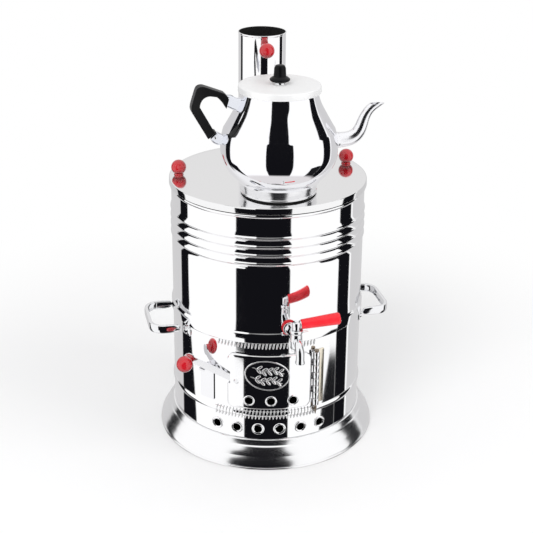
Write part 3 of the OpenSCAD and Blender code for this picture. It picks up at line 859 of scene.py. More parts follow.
    @staticmethod
    def wrap(obj: bpy.types.Object, turn: float, radius: float) -> bpy.types.Object:
        """Bends a flat piece round the body.

        Args:
            obj: A piece whose width runs along X, height along Z and front along -Y.
            turn: The angle at which its middle comes to lie.
            radius: The radius at which its width keeps its length.

        Returns:
            The same piece.
        """
        base = radius * MM
        for vertex in obj.data.vertices:
            x, y, z = vertex.co
            angle = math.radians(turn) + x / base
            reach = base - y
            vertex.co = (reach * math.sin(angle), -reach * math.cos(angle), z)
        return obj


@dataclass
class Crew:
    """Hands finished pieces to the bodies that carry them."""

    finishes: Finishes
    pieces: int = 0

    def hire(
        self, obj: bpy.types.Object, body: str, slot: str, finish: str, replaces: Sequence[str] = ()
    ) -> None:
        """Dresses a piece and lets it ride.

        Args:
            obj: The finished piece.
            body: The body that carries it.
            slot: The record's material slot; not used.
            finish: The name of its finish.
            replaces: The nodes that it stands for.
        """
        if not obj.data.materials:
            obj.data.materials.append(self.finishes[finish])
        else:
            obj.data.materials[0] = self.finishes[finish]
        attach(obj, body)
        if replaces:
            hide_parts(*replaces)
        self.pieces += 1
        LOG.info("%s rides on %s", obj.name, body)

    def dress(self, frame: dict, node: str, finish: str) -> None:
        """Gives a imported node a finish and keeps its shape.

        Args:
            node: The node's name.
            finish: The name of its finish.
        """
        obj = frame["nodes"][node]
        obj.data.materials.clear()
        obj.data.materials.append(self.finishes[finish])
        LOG.info("%s keeps its solid", node)

    def darken(
        self, obj: bpy.types.Object, where: Callable[[bpy.types.MeshPolygon], bool]
    ) -> bpy.types.Object:
        """Gives some faces of a piece the near-black finish, which stands for soot and for painted
        shade.

        Args:
            obj: The piece, before it is dressed.
            where: Tells whether a face is dark.

        Returns:
            The same piece.
        """
        obj.data.materials.append(None)
        obj.data.materials.append(self.finishes["soot_and_shade"])
        for face in obj.data.polygons:
            if where(face):
                face.material_index = 1
        return obj

    def soot_and_shade_inside(
        self, obj: bpy.types.Object, limit: float, centre: Pair = (0.0, 0.0)
    ) -> bpy.types.Object:
        """Darkens the faces that look toward an upright axis from inside a radius, with soot and
        painted shade.

        Args:
            obj: The piece, before it is dressed.
            limit: The radius.
            centre: Where the axis stands.

        Returns:
            The same piece.
        """

        def inside(face: bpy.types.MeshPolygon) -> bool:
            """Tells whether a face belongs to the lining.

            Args:
                face: The face.

            Returns:
                Whether it looks toward the axis from inside the radius.
            """
            x = face.center.x - centre[0] * MM
            y = face.center.y - centre[1] * MM
            away = math.hypot(x, y)
            return face.normal.x * x + face.normal.y * y < -0.2 * away and away < limit * MM

        return self.darken(obj, inside)


# ---- sub-assemblies ----


@dataclass
class Base:
    """The flared foot that the samovar stands on."""

    foot_r: float = 138.9
    top: float = 33.0

    def skirt(self) -> bpy.types.Object:
        """Turns the flare with its rolled rim.

        Returns:
            The flare.
        """
        waist, foot = (130.4, 19.6), (self.foot_r - 0.4, 4.2)
        flare = bow((BODY_R + 2.2, self.top - 0.3), (125.6, 26.0), waist, 16)
        flare += bow(waist, (138.6, 8.7), foot, 40)[1:]
        lip = bow((BODY_R + 0.3, self.top + 0.2), (BODY_R + 1.4, self.top + 0.4), flare[0], 5)
        groove = [(137.5, 3.55)]
        roll = arc(self.foot_r - 1.7, 1.7, 1.7, 50, -195, 18)
        inside = bow((136.6, 3.6), (136.0, 14.0), (126.6, 26.2), 20)
        outline = lip[:-1] + flare + groove + roll + inside + [(BODY_R + 0.4, self.top - 3.0)]
        return Bench.lathe("base_skirt", outline, steps=256, smooth=50)

    def build(self, crew: Crew) -> None:
        """Makes and dresses the foot."""
        crew.hire(self.skirt(), "samovar", "polished_steel", "turned_steel", ["base_ring"])


@dataclass
class Firebox:
    """The casing round the fire, its air holes and its stamped rope."""

    wall: float = 1.2
    low: float = 24.0
    high: float = 166.0
    bead_low: float = 64.5
    bead_high: float = 72.0
    bead_out: float = 1.5
    air_z: float = 47.5
    air_count: int = 6
    air_pitch: float = 12.7
    rope_pitch: float = 2.05
    rope_end: float = 17.4

    def air(self) -> list[Matrix]:
        """The places of the air holes, from left to right."""
        steps = [n - (self.air_count - 1) / 2 for n in range(self.air_count)]
        return [spoke(DOOR_TURN + n * self.air_pitch, BODY_R, self.air_z) for n in steps]

    def sheet(self, crew: Crew) -> bpy.types.Object:
        """Turns the casing with its bead, then cuts the air holes and the fire door's opening.

        Args:
            crew: Gives the soot and painted shade inside.

        Returns:
            The casing.
        """
        mid = (self.bead_low + self.bead_high) / 2
        half = (self.bead_high - self.bead_low) / 2
        out = [(BODY_R, self.low)] + [(BODY_R, 38.0 + 1.5 * n) for n in range(14)]
        for t in (n / 10 - 1 for n in range(21)):
            swell = self.bead_out * (1 - t * t) ** 0.6 if abs(t) < 1 else 0.0
            out.append((BODY_R + swell, mid + half * t))
        out += [(BODY_R, z) for z in (80.0, 113.0, 146.0, self.high)]
        back = [(r - self.wall, z) for r, z in reversed(out)]
        obj = Bench.lathe("casing_sheet", out + back, steps=320, smooth=30)
        for place in self.air():
            Bench.bore(obj, AIR_R, 6, place)
        opening = round_box(87.0, 65.0, 8.0)
        tool = Bench.loft("door_tool", [upright(opening, y, DOOR_Z) for y in (-150, -90)])
        Bench.cut(obj, Bench.place(tool, turned(DOOR_TURN)))
        return crew.soot_and_shade_inside(Bench.close(obj, 30), BODY_R - 0.5)

    def collars(self) -> bpy.types.Object:
        """Presses a round collar about each air hole.

        Returns:
            The collars as one piece.
        """
        outline = eased([(AIR_R, -1.6, 0), (7.9, -0.6, 0), (7.5, 0.9, 0.6), (6.5, 1.5, 0.7),
                         (AIR_R, 0.7, 0.6)])
        first = Bench.lathe("air_collar", outline, steps=56)
        return Bench.repeat("air_collars", first, self.air())

    def rope(
        self, name: str, start: float, low: float, high: float, out: float
    ) -> bpy.types.Object:
        """Stamps a row of slanted strokes round the front.

        Args:
            name: The piece's name.
            start: The first stroke's angle.
            low: The strokes' lower end.
            high: Their upper end.
            out: The radius that they stand on.

        Returns:
            The row as one piece.
        """
        half, tall, swell, slant = 1.15, (high - low) / 2, 0.8, 0.16
        rings = []
        for t in (n / 4 - 1 for n in range(9)):
            width = half * math.sqrt(max(1 - t * t * 0.86, 0.05))
            lift = swell * math.sqrt(max(1 - t * t * 0.9, 0.04))
            lean = slant * tall * t
            turns = [2 * math.pi * k / 10 for k in range(10)]
            ring = [(lean + width * math.cos(a), -lift * math.sin(a), tall * t) for a in turns]
            rings.append([(x * MM, y * MM, z * MM) for x, y, z in ring])
        first = Bench.loft(name, rings, 60)
        made = []
        turn = start
        while turn <= self.rope_end + 0.01:
            twin = Bench.copy(first, shift(0, 0, (low + high) / 2))
            made.append(Bench.wrap(twin, turn, out))
            turn += self.rope_pitch
        bpy.data.objects.remove(first)
        return Bench.join(name, made)

    def build(self, crew: Crew) -> None:
        """Makes and dresses the casing.

        Args:
            crew: Takes the pieces.
        """
        mirror = ("samovar", "polished_steel", "mirror_steel")
        crew.hire(self.sheet(crew), *mirror, ["firebox_casing"])
        crew.hire(self.collars(), *mirror)
        crew.hire(self.rope("rope_low", -43.0, 61.5, 73.5, BODY_R + 0.9), *mirror)
        crew.hire(self.rope("rope_high", -41.5, 157.3, 165.3, BODY_R + 0.1), *mirror)


@dataclass
class Tank:
    """The water tank's wall with its band, ribs and rolled top."""

    wall: float = 1.2
    low: float = 165.0
    high: float = 337.4
    bead_z: float = 327.7
    rib_z: float = 268.0
    rib_pitch: float = 10.8
    rib_out: float = 1.4

    def sheet(self, crew: Crew) -> bpy.types.Object:
        """Turns the wall, with painted shade on its bead where the lid's skirt overhangs it, and
        opens the hole of the tap.

        Args:
            crew: Gives the band of painted shade.

        Returns:
            The wall.
        """
        r, low = BODY_R, self.low
        band_r = r + 1.9
        out = eased([(r + 0.4, low, 0), (band_r, low + 0.3, 1.0), (band_r, low + 12.0, 2.4),
                     (r, low + 14.2, 2.4), (r, low + 30.0, 0)], 6, closed=False)
        out += [(r, z) for z in (200.0, 216.0, 232.0, 248.0, 260.0)]
        for middle in (self.rib_z + n * self.rib_pitch for n in range(4)):
            for t in (k / 8 - 1 for k in range(17)):
                swell = self.rib_out * (0.5 + 0.5 * math.cos(math.pi * t)) ** 0.8
                out.append((r + swell, middle + 2.6 * t))
        out += [(r, z) for z in (308.0, 317.0, 325.8)]
        for k in range(-9, 10):
            swell = 1.3 * math.cos(math.radians(9 * k)) ** 0.7
            out.append((r + swell, self.bead_z + 2.3 * k / 10))
        out += [(r, 330.6), (r, self.high - 0.3), (r - 0.3, self.high)]
        back = [(x - self.wall, z) for x, z in reversed(out[:-2])]
        outline = out + [(r - self.wall, self.high)] + back
        obj = Bench.lathe("tank_wall", outline, steps=320, smooth=35)
        Bench.bore(obj, 6.0, 9, spoke(0, r, TAP_Z))
        Bench.close(obj, 35)
        # Painted shade: the bead's upper side under the lid's skirt gets the near-black finish.
        return crew.darken(obj, lambda face: 1.5 < face.center.z / MM - self.bead_z < 3.6)

    def build(self, crew: Crew) -> None:
        """Makes and dresses the tank."""
        crew.hire(self.sheet(crew), "samovar", "polished_steel", "mirror_steel", ["tank_shell"])


@dataclass
class Grips:
    """The two bent carrying handles with their riveted feet."""

    reach: float = 155.9
    tall: float = 11.0
    half: float = 36.0
    thick: float = 2.4

    def route(self, outer: float, half: float, corner: float) -> list[Pair]:
        """The bar's path seen from above, from one foot to the other.

        Args:
            outer: How far out the path runs.
            half: Half of its width.
            corner: The radius of its two bends.

        Returns:
            The path's points.
        """
        found = [(116.0, -half)]
        found += arc(outer - corner, -(half - corner), corner, -90, 0, 14)
        found += arc(outer - corner, half - corner, corner, 0, 90, 14)
        return found + [(116.0, half)]

    def bar(self) -> bpy.types.Object:
        """Bends the channel bar of one handle.

        Returns:
            The bar of the right side.
        """
        outside = self.route(self.reach, self.half + self.thick, 19.0)
        inside = self.route(self.reach - 4.4, self.half - 2.0, 14.6)
        half = self.tall / 2
        shape = ((0.0, 0.7), (0.07, 0.9), (0.3, 1.0), (0.75, 1.0), (1.0, 0.97), (1.0, 0.78),
                 (0.5, 0.76), (0.42, 0.5), (0.42, -0.5), (0.5, -0.76), (1.0, -0.78), (1.0, -0.97),
                 (0.75, -1.0), (0.3, -1.0), (0.07, -0.9), (0.0, -0.7), (-0.03, 0.0))
        rings = [[((x + (u - x) * s) * MM, (y + (v - y) * s) * MM, (GRIP_Z + half * h) * MM)
                  for s, h in shape] for (x, y), (u, v) in zip(outside, inside)]
        obj = Bench.loft("grip_bar", rings, 42)
        Bench.finish(obj, "SUBSURF", levels=1, render_levels=1)
        body = [(0, 140), (BODY_R + 0.5, 140), (BODY_R + 0.5, 172), (0, 172)]
        Bench.cut(obj, Bench.lathe("body_tool", body, steps=160))
        return Bench.close(obj, 42)

    def foot(self, turn: float) -> bpy.types.Object:
        """Presses one foot on the casing.

        Args:
            turn: The angle of its middle.

        Returns:
            The foot.
        """
        outer = round_box(17.6, 10.2, 3.0, 6)
        inner = round_box(16.2, 8.8, 2.3, 6)
        rings = [upright(outer, 0.08), upright(outer, -1.1), upright(inner, -1.6)]
        obj = Bench.loft("grip_foot", rings, 60)
        Bench.place(obj, shift(0, 0, GRIP_Z))
        return Bench.wrap(obj, turn, BODY_R)

    def build(self, crew: Crew) -> None:
        """Makes and dresses both handles.

        Args:
            crew: Takes the pieces.
        """
        lean = math.degrees(math.asin(self.half / BODY_R)) + 4.6
        for side, turn in (("right", 90.0), ("left", -90.0)):
            bar = self.bar()
            if side == "left":
                Bench.place(bar, turned(180))
            obj = Bench.join("grip_" + side, [bar, self.foot(turn + lean), self.foot(turn - lean)])
            crew.hire(obj, "samovar", "tap_chrome", "chrome", ["handle_" + side])


@dataclass
class Door:
    """The fire door: pan, collared holes, badge and knuckles."""

    inner: float = 122.8
    outer: float = 124.0
    half: float = 24.4
    low: float = 76.5
    high: float = 149.5
    edge_r: float = 8.0
    hole_z: float = 88.4
    hole_pitch: float = 12.6
    badge_wide: float = 28.0
    badge_tall: float = 20.0
    pin_turn: float = 16.5
    pin_r: float = 124.4
    leaf_turn: float = 20.65
    knuckle_count: int = 8

    def holes(self, radius: float) -> list[Matrix]:
        """The places of the door's holes at a radius, from left to right."""
        turns = [DOOR_TURN + 1 + n * self.hole_pitch for n in (-1, 0, 1)]
        return [spoke(turn, radius, self.hole_z) for turn in turns]

    def pan(self) -> bpy.types.Object:
        """Presses the door's sheet with its rounded edge turned in.

        Returns:
            The sheet.
        """
        width = 2 * self.inner * math.radians(self.half)
        tall = self.high - self.low
        middle = (self.low + self.high) / 2

        def edge(grow: float) -> list[Pair]:
            """The sheet's outline, a little larger or smaller all round."""
            return round_box(width + 2 * grow, tall + 2 * grow, self.edge_r + grow, 10, 30)

        front = [upright(edge(grow), -lift, middle) for grow, lift in (
            (0.0, -2.2), (0.0, -0.3), (-0.25, 0.35), (-0.75, 0.85), (-1.5, 1.12), (-2.4, 1.2))]
        for share in (1 - n / 23.5 for n in range(1, 24)):
            front.append(upright([(x * share, z * share) for x, z in edge(-2.4)], -1.2, middle))
        back = [[(x, 0.0, z) for x, _, z in ring] for ring in reversed(front[4:])]
        back += [upright(edge(-1.2), y, middle) for y in (0.0, 2.2)]
        obj = Bench.loft("door_pan", front + back, 50, capped=False, looped=True)
        Bench.wrap(obj, DOOR_TURN, self.inner)
        for place in self.holes(123.0):
            Bench.bore(obj, AIR_R, 6, place)
        notch = ((-50, 109), (50, 109), (50, 140.5), (-50, 140.5))
        tool = Bench.loft("notch_tool", [upright(notch, y) for y in (-122.7, -100.0)])
        Bench.cut(obj, Bench.place(tool, turned(DOOR_TURN - self.half - 22)))
        return Bench.close(obj, 50)

    def collars(self) -> bpy.types.Object:
        """Presses a collar about each hole of the door.

        Returns:
            The collars as one piece.
        """
        outline = eased([(AIR_R, -1.5, 0), (7.3, -0.5, 0), (6.9, 0.7, 0.5), (5.9, 1.25, 0.6),
                         (AIR_R, 0.4, 0.5)])
        first = Bench.lathe("door_collar", outline, steps=56)
        return Bench.repeat("door_collars", first, self.holes(self.outer))

    def stroke(self, path: Sequence[Pair], wide: float) -> bpy.types.Object:
        """Raises one line of the badge's ornament along a flat path.

        Args:
            path: The line's points, with width and height.
            wide: Half of its greatest width.

        Returns:
            The line.
        """
        rings = []
        last = len(path) - 1
        for n, (x, z) in enumerate(path):
            a, b = path[max(n - 1, 0)], path[min(n + 1, last)]
            across = Vector((-(b[1] - a[1]), b[0] - a[0])).normalized()
            share = wide * math.sqrt(max(1 - (2 * n / last - 1) ** 2, 0.02) ** 0.6)
            turns = [2 * math.pi * k / 8 for k in range(8)]
            rings.append([((x + across.x * share * math.cos(t)) * MM,
                           -0.45 * share * math.sin(t) * MM,
                           (z + across.y * share * math.cos(t)) * MM) for t in turns])
        return Bench.loft("badge_stroke", rings, 70)

    def badge(self) -> bpy.types.Object:
        """Raises the oval badge with its rim and two leafy scrolls.

        Returns:
            The badge.
        """
        wide, tall = self.badge_wide, self.badge_tall
        shares = [(1.0, -0.5), (1.0, 0.35), (0.985, 0.5), (0.95, 0.5)]
        shares += [(0.95 * (1 - n / 13.4), 0.5) for n in range(1, 14)]
        plate = [upright(oval(wide * share, tall * share, 72), -lift) for share, lift in shares]
        rim = []
        for a in (2 * math.pi * k / 10 for k in range(10)):
            grow, lift = 0.75 * math.cos(a) - 0.8, 0.5 + 0.5 * math.sin(a)
            rim.append(upright(oval(wide + grow, tall + grow, 90), -lift))
        field = Bench.loft("badge_field", plate, 60)
        ring = Bench.loft("badge_rim", rim, 80, capped=False, looped=True)
        scrolls = []
        for sign in (1, -1):
            steps = [n / 15 - 1 for n in range(31)]
            vine = [(20.0 * t, sign * 6.6 + 1.6 * math.sin(5.0 * t)) for t in steps]
            scrolls.append(self.stroke(vine, 0.7))
            for x, z in vine[5:27:5]:
                for lean in (1, -1):
                    leaf = [(x + 0.62 * k, z + lean * (0.5 + 0.5 * k)) for k in range(10)]
                    scrolls.append(self.stroke(leaf, 1.5))
        for part in scrolls:
            Bench.place(part, shift(0, -0.55, 0))
        obj = Bench.join("door_badge", [field, ring, *scrolls])
        Bench.place(obj, shift(0, 0, 123.8) @ turned(8, "Y"))
        return Bench.wrap(obj, DOOR_TURN - 1.3, self.outer)

    def knuckles(self, name: str, odd: int) -> bpy.types.Object:
        """Rolls every second knuckle of the hinge with the arm that holds it.

        Args:
            name: The piece's name.
            odd: 1 for the door's knuckles, 0 for those of the casing's leaf.

        Returns:
            The knuckles as one piece.
        """
        pitch = (self.high - self.low) / self.knuckle_count
        low, high = 0.2, pitch - 0.2
        outline = eased([(1.65, low, 0), (4.0, low, 0.9), (4.0, high, 0.9), (1.65, high, 0)])
        first = Bench.lathe("knuckle", outline, steps=40)
        turn = math.radians(self.pin_turn)
        seat = shift(self.pin_r * math.sin(turn), -self.pin_r * math.cos(turn), 0)
        width, lift, inner = (4.4, 3.4, 120.6) if odd else (3.2, 1.2, 120.2)
        aside = (width / 2 + 0.3) * (-1 if odd else 1)
        edge = round_box(width + 2.4, pitch - 0.5, 0.4, 2)
        made = []
        for n in range(odd, self.knuckle_count, 2):
            made.append(Bench.copy(first, seat @ shift(0, 0, self.low + n * pitch)))
            arm = Bench.loft("arm", [upright(edge, -(lift - 1.0)), upright(edge, -lift)])
            Bench.place(arm, shift(aside, 0, self.low + (n + 0.5) * pitch))
            made.append(Bench.wrap(arm, self.pin_turn, inner))
        bpy.data.objects.remove(first)
        return Bench.join(name, made)

    def leaf(self) -> bpy.types.Object:
        """Folds the hinge's leaf on the casing.

        Returns:
            The leaf.
        """
        rows = []
        for grow, lift in ((0.0, -0.08), (0.0, 1.0), (-0.4, 1.4)):
            edge = round_box(8.6 + 2 * grow, 73.0 + 2 * grow, 1.0, 4)
            rows.append(upright(edge, -lift, DOOR_Z))
        return Bench.wrap(Bench.loft("hinge_strip", rows, 50), self.leaf_turn, BODY_R)

    def build(self, crew: Crew) -> None:
        """Makes and dresses the door and its hinge.

        Args:
            crew: Takes the pieces.
        """
        crew.hire(self.pan(), "door", "polished_steel", "door_steel", ["door_panel"])
        crew.hire(self.collars(), "door", "polished_steel", "mirror_steel")
        crew.hire(self.badge(), "door", "polished_steel", "door_steel")
        crew.hire(self.knuckles("door_knuckles", 1), "door", "polished_steel", "mirror_steel")
        leaf = self.knuckles("leaf_knuckles", 0)
        crew.hire(leaf, "samovar", "polished_steel", "mirror_steel", ["hinge_leaf"])
        crew.hire(self.leaf(), "samovar", "hinge_brass", "hinge_brass")


@dataclass
class Knob:
    """A red ball knob on a tapering neck, by the ball's radius and its centre's height."""

    ball: float
    lift: float
    neck_low: float = 6.2
    neck_high: float = 5.6

    def turn(self, name: str) -> bpy.types.Object:
        """Turns one knob that stands on Z = 0.

        Args:
            name: The piece's name.

        Returns:
            The knob.
        """
        brim = self.lift - 0.84 * self.ball
        neck = eased([(0.0, 0.0, 0), (self.neck_low, 0.0, 0.5), (self.neck_high, brim, 0.9)],
                     4, closed=False)
        start = math.degrees(math.asin(-0.8))
        outline = neck + arc(0, self.lift, self.ball, start, 90, 30)
        return Bench.lathe(name, outline, steps=72, smooth=50)


@dataclass
class Latch:
    """The lever that holds the door shut."""

    at: float = -30.0
    seat_r: float = 120.5
    slope: float = 18.0
    long: float = 64.5
    strap: float = 4.6
    thick: float = 1.4

    def frame(self) -> Matrix:
        """The place in which the lever's length runs toward -X and its front is -Y."""
        return turned(self.at) @ shift(0, -self.seat_r, DOOR_Z) @ turned(self.slope, "Y")

    def lever(self) -> bpy.types.Object:
        """Stamps the lever: an eye, a strap with rolled edges and a round end.

        Returns:
            The lever.
        """
        near, far = -12.0, -self.long + 7.5
        edge = arc(0, 0, 5.5, -70, 70, 12) + [(near, self.strap), (far, self.strap)]
        edge += arc(-self.long, 0, 6.8, 42, 318, 18) + [(far, -self.strap), (near, -self.strap)]
        rows = []
        for grow, y in ((0.0, 0.0), (0.0, -1.0), (-0.35, -self.thick)):
            rows.append(upright([(x, z * (1 + grow / 8)) for x, z in edge], y))
        return Bench.place(Bench.loft("latch_strap", rows, 50), self.frame())

    def knob(self) -> bpy.types.Object:
        """Turns the latch's knob on the lever's end.

        Returns:
            The knob.
        """
        obj = Knob(10.0, 15.6).turn("latch_ball")
        Bench.place(obj, turned(90, "X"))
        Bench.place(obj, shift(-self.long, -self.thick, 0))
        return Bench.place(obj, self.frame())

    def build(self, crew: Crew) -> None:
        """Makes and dresses the latch."""
        crew.hire(self.lever(), "latch", "tap_chrome", "pressed_steel", ["latch_lever"])
        crew.hire(self.knob(), "latch", "red_bakelite", "red_ball", ["latch_knob"])


@dataclass
class Tap:
    """The plug tap: body, nose, hub and grip."""

    plug_y: float = 155.0
    nose_y: float = 175.0
    nose_bend: float = 12.0
    axis_up: float = 19.7
    lift: float = 4.2

    def barrel(self) -> bpy.types.Object:
        """Turns the horizontal barrel with its flange.

        Returns:
            The barrel.
        """
        outline = eased([(0, -9, 0), (5.8, -9, 0.4), (5.8, 2.0, 0), (8.0, 2.1, 0.4),
                         (8.0, 4.4, 0.7), (6.1, 5.0, 0.8), (5.2, 12.0, 3.0), (5.5, 24.0, 3.0),
                         (5.6, 31.0, 0), (0, 31.0, 0)], closed=False)
        return Bench.place(Bench.lathe("tap_barrel", outline, steps=64), spoke(0, BODY_R, TAP_Z))

    def tower(self) -> bpy.types.Object:
        """Turns the upright seat of the plug.

        Returns:
            The seat.
        """
        low, high = TAP_Z - 9.0, TAP_Z + 14.0
        outline = eased([(4.5, low, 0), (6.5, low, 0.4), (7.0, low + 3, 0.8), (7.3, TAP_Z, 4),
                         (6.9, high - 5.0, 1.0), (8.0, high - 3.0, 0.6), (8.0, high - 0.6, 0.6),
                         (7.2, high, 0.4), (4.5, high, 0.2)])
        return Bench.lathe("tap_tower", outline, (0.0, -self.plug_y), 64)

    def nose(self) -> bpy.types.Object:
        """Sweeps the nose from the tower forward and down.

        Returns:
            The nose with its open mouth.
        """
        bend, front = self.nose_bend, -self.nose_y
        path: list[Point] = [(-(self.plug_y + 4.6), TAP_Z, 5.3), (front + bend, TAP_Z, 5.2)]
        for n in range(1, 13):
            a = math.radians(90 - 7.5 * n)
            y, z = front + bend - bend * math.cos(a), TAP_Z - bend + bend * math.sin(a)
            path.append((y, z, 5.2 - 0.02 * n))
        path += [(front, z, r) for z, r in ((171.0, 5.0), (168.6, 5.1), (168.2, 5.6), (166.5, 5.7),
                                            (166.0, 5.3), (166.0, 3.6), (174.0, 3.4))]
        rings = []
        for n, (y, z, r) in enumerate(path):
            a = math.radians(90 * (min(max(n - 1, 0), 12) / 12))
            up = Vector((0, -math.sin(a), math.cos(a)))
            ring = []
            for t in (2 * math.pi * k / 40 for k in range(40)):
                p = Vector((math.cos(t) * r, y, z)) + up * (math.sin(t) * r)
                ring.append(tuple(c * MM for c in p))
            rings.append(ring)
        return Bench.loft("tap_nose", rings, 50)

    def plug(self) -> bpy.types.Object:
        """Turns the plug with its hub and the ferrule of the grip.

        Returns:
            The plug.
        """
        foot, hub = TAP_Z - 14, TAP_Z + 14.3
        outline = eased([(0, foot, 0), (4.45, foot, 0.3), (4.45, hub, 0), (5.2, hub, 0.3),
                         (5.2, hub + 7.6, 0.3), (4.6, hub + 9.0, 0.8), (2.4, hub + 10.0, 0.6),
                         (0, hub + 10.1, 0)], 4, closed=False)
        body = Bench.lathe("tap_plug_body", outline, (0.0, -self.plug_y), 64)
        ferrule = eased([(0, 2, 0), (3.4, 2, 0), (3.4, 3.8, 0.3), (4.8, 4.2, 0.3), (4.8, 5.5, 0.3),
                         (2.2, 5.6, 0), (2.2, 38, 0), (0, 38, 0)], 3, closed=False)
        stem = Bench.place(Bench.lathe("tap_stem", ferrule, steps=40), self.axis())
        return Bench.join("tap_plug_top", [body, stem])

    def axis(self) -> Matrix:
        """The place of the lever's parts, which run along their own +Z."""
        return shift(0, -self.plug_y, TAP_Z + self.axis_up) @ turned(90 - self.lift, "Y")

    def grip(self) -> bpy.types.Object:
        """Turns the grip, thinner at the hub.

        Returns:
            The grip.
        """
        outline = eased([(2.2, 5.4, 0), (5.5, 5.4, 0.5), (5.9, 7.0, 1.0), (7.1, 44.0, 9.0),
                         (7.3, 50.2, 2.2), (6.2, 52.3, 1.6), (0, 52.4, 0)], 8, closed=False)
        return Bench.place(Bench.lathe("tap_handle_grip", outline, steps=72), self.axis())

    def build(self, crew: Crew) -> None:
        """Makes and dresses the tap.

        Args:
            crew: Takes the pieces.
        """
        crew.hire(self.barrel(), "samovar", "tap_chrome", "chrome")
        crew.hire(self.tower(), "samovar", "tap_chrome", "chrome", ["tap_body"])
        crew.hire(self.nose(), "samovar", "tap_chrome", "chrome")
        crew.hire(self.plug(), "tap_lever", "tap_chrome", "chrome", ["tap_plug"])
        crew.hire(self.grip(), "tap_lever", "red_grip", "red_grip", ["tap_grip"])


@dataclass
class Lid:
    """The tank's flat lid with its skirt and two knobs."""

    top: float = 338.7
    low: float = 331.0
    radius: float = 122.6
    thick: float = 1.0
    hole_r: float = 29.8
    ball_r: float = 9.3
    ball_up: float = 9.6

    def disc(self) -> bpy.types.Object:
        """Turns the lid and opens the chimney's hole.

        Returns:
            The lid.
        """
        rim, top, under = self.radius, self.top, self.top - self.thick
        out = [(r, top) for r in (0.0, 30, 60, 90, 112.0)]
        out += eased([(114.0, top, 0), (rim - 0.3, top, 1.7), (rim, self.low, 0.3),
                      (rim - 0.9, self.low, 0.3), (rim - 1.2, under, 0.8)], 7, closed=False)
        out += [(0.0, under)]
        obj = Bench.lathe("lid_sheet", out, steps=256, smooth=38, closed=False)
        hole = [(0, 320), (self.hole_r, 320), (self.hole_r, 345), (0, 345)]
        Bench.cut(obj, Bench.lathe("hole_tool", hole, PIPE_AT, 96))
        return Bench.close(obj, 38)

    def collar(self) -> bpy.types.Object:
        """Turns the collar that the chimney stands in.

        Returns:
            The collar.
        """
        outline = eased([(self.hole_r, 330.0, 0), (30.6, 330.0, 0), (30.8, 338.2, 0),
                         (33.4, 338.65, 0.6), (33.2, 339.4, 0.3), (31.8, 340.0, 0.8),
                         (31.5, 341.9, 0.4), (self.hole_r, 341.9, 0.3)], 4)
        return Bench.lathe("lid_collar", outline, PIPE_AT, 96)

    def build(self, crew: Crew) -> None:
        """Makes and dresses the lid.

        Args:
            crew: Takes the pieces.
        """
        crew.hire(self.disc(), "lid", "polished_steel", "lid_steel", ["lid_disc"])
        crew.hire(self.collar(), "lid", "polished_steel", "mirror_steel")
        balls = (("left", -108.5, 20.0, ["lid_knobs"]), ("right", 106.9, 22.0, []))
        for side, x, y, nodes in balls:
            obj = Knob(self.ball_r, self.ball_up).turn("lid_ball_" + side)
            Bench.place(obj, shift(x, y, self.top))
            crew.hire(obj, "lid", "red_bakelite", "red_ball", nodes)


@dataclass
class Chimney:
    """The lift-off pipe with its knob."""

    radius: float = 29.0
    wall: float = 0.9
    low: float = 272.0
    top: float = 510.0
    knob_turn: float = -5.0
    knob_z: float = 495.5

    def pipe(self, crew: Crew) -> bpy.types.Object:
        """Rolls the pipe with a stop ring and a turned mouth.

        Args:
            crew: Gives the soot and painted shade inside.

        Returns:
            The pipe.
        """
        r, bore = self.radius, self.radius - self.wall
        outline = eased([(bore, self.low, 0), (r, self.low, 0.2), (r, 342.0, 0),
                         (r + 0.9, 342.1, 0.3), (r + 0.9, 343.8, 0.6), (r, 344.4, 0.4),
                         (r, 420.0, 0), (r, 507.6, 0.8), (r + 0.5, 508.4, 0.4),
                         (r + 0.5, 509.7, 0.4), (r - 0.4, self.top, 0.3), (bore, 509.4, 0.2)], 4)
        obj = Bench.lathe("chimney_tube", outline, PIPE_AT, 192, 40)
        return crew.soot_and_shade_inside(obj, r - 0.5, PIPE_AT)

    def build(self, crew: Crew) -> None:
        """Makes and dresses the chimney.

        Args:
            crew: Takes the pieces.
        """
        crew.hire(self.pipe(crew), "chimney", "polished_steel", "tube_steel", ["chimney_pipe"])
        knob = Knob(9.2, 14.2).turn("chimney_ball")
        seat = spoke(self.knob_turn, self.radius - 0.1, self.knob_z)
        Bench.place(knob, shift(*PIPE_AT, 0) @ seat)
        crew.hire(knob, "chimney", "red_bakelite", "red_ball", ["chimney_knob"])


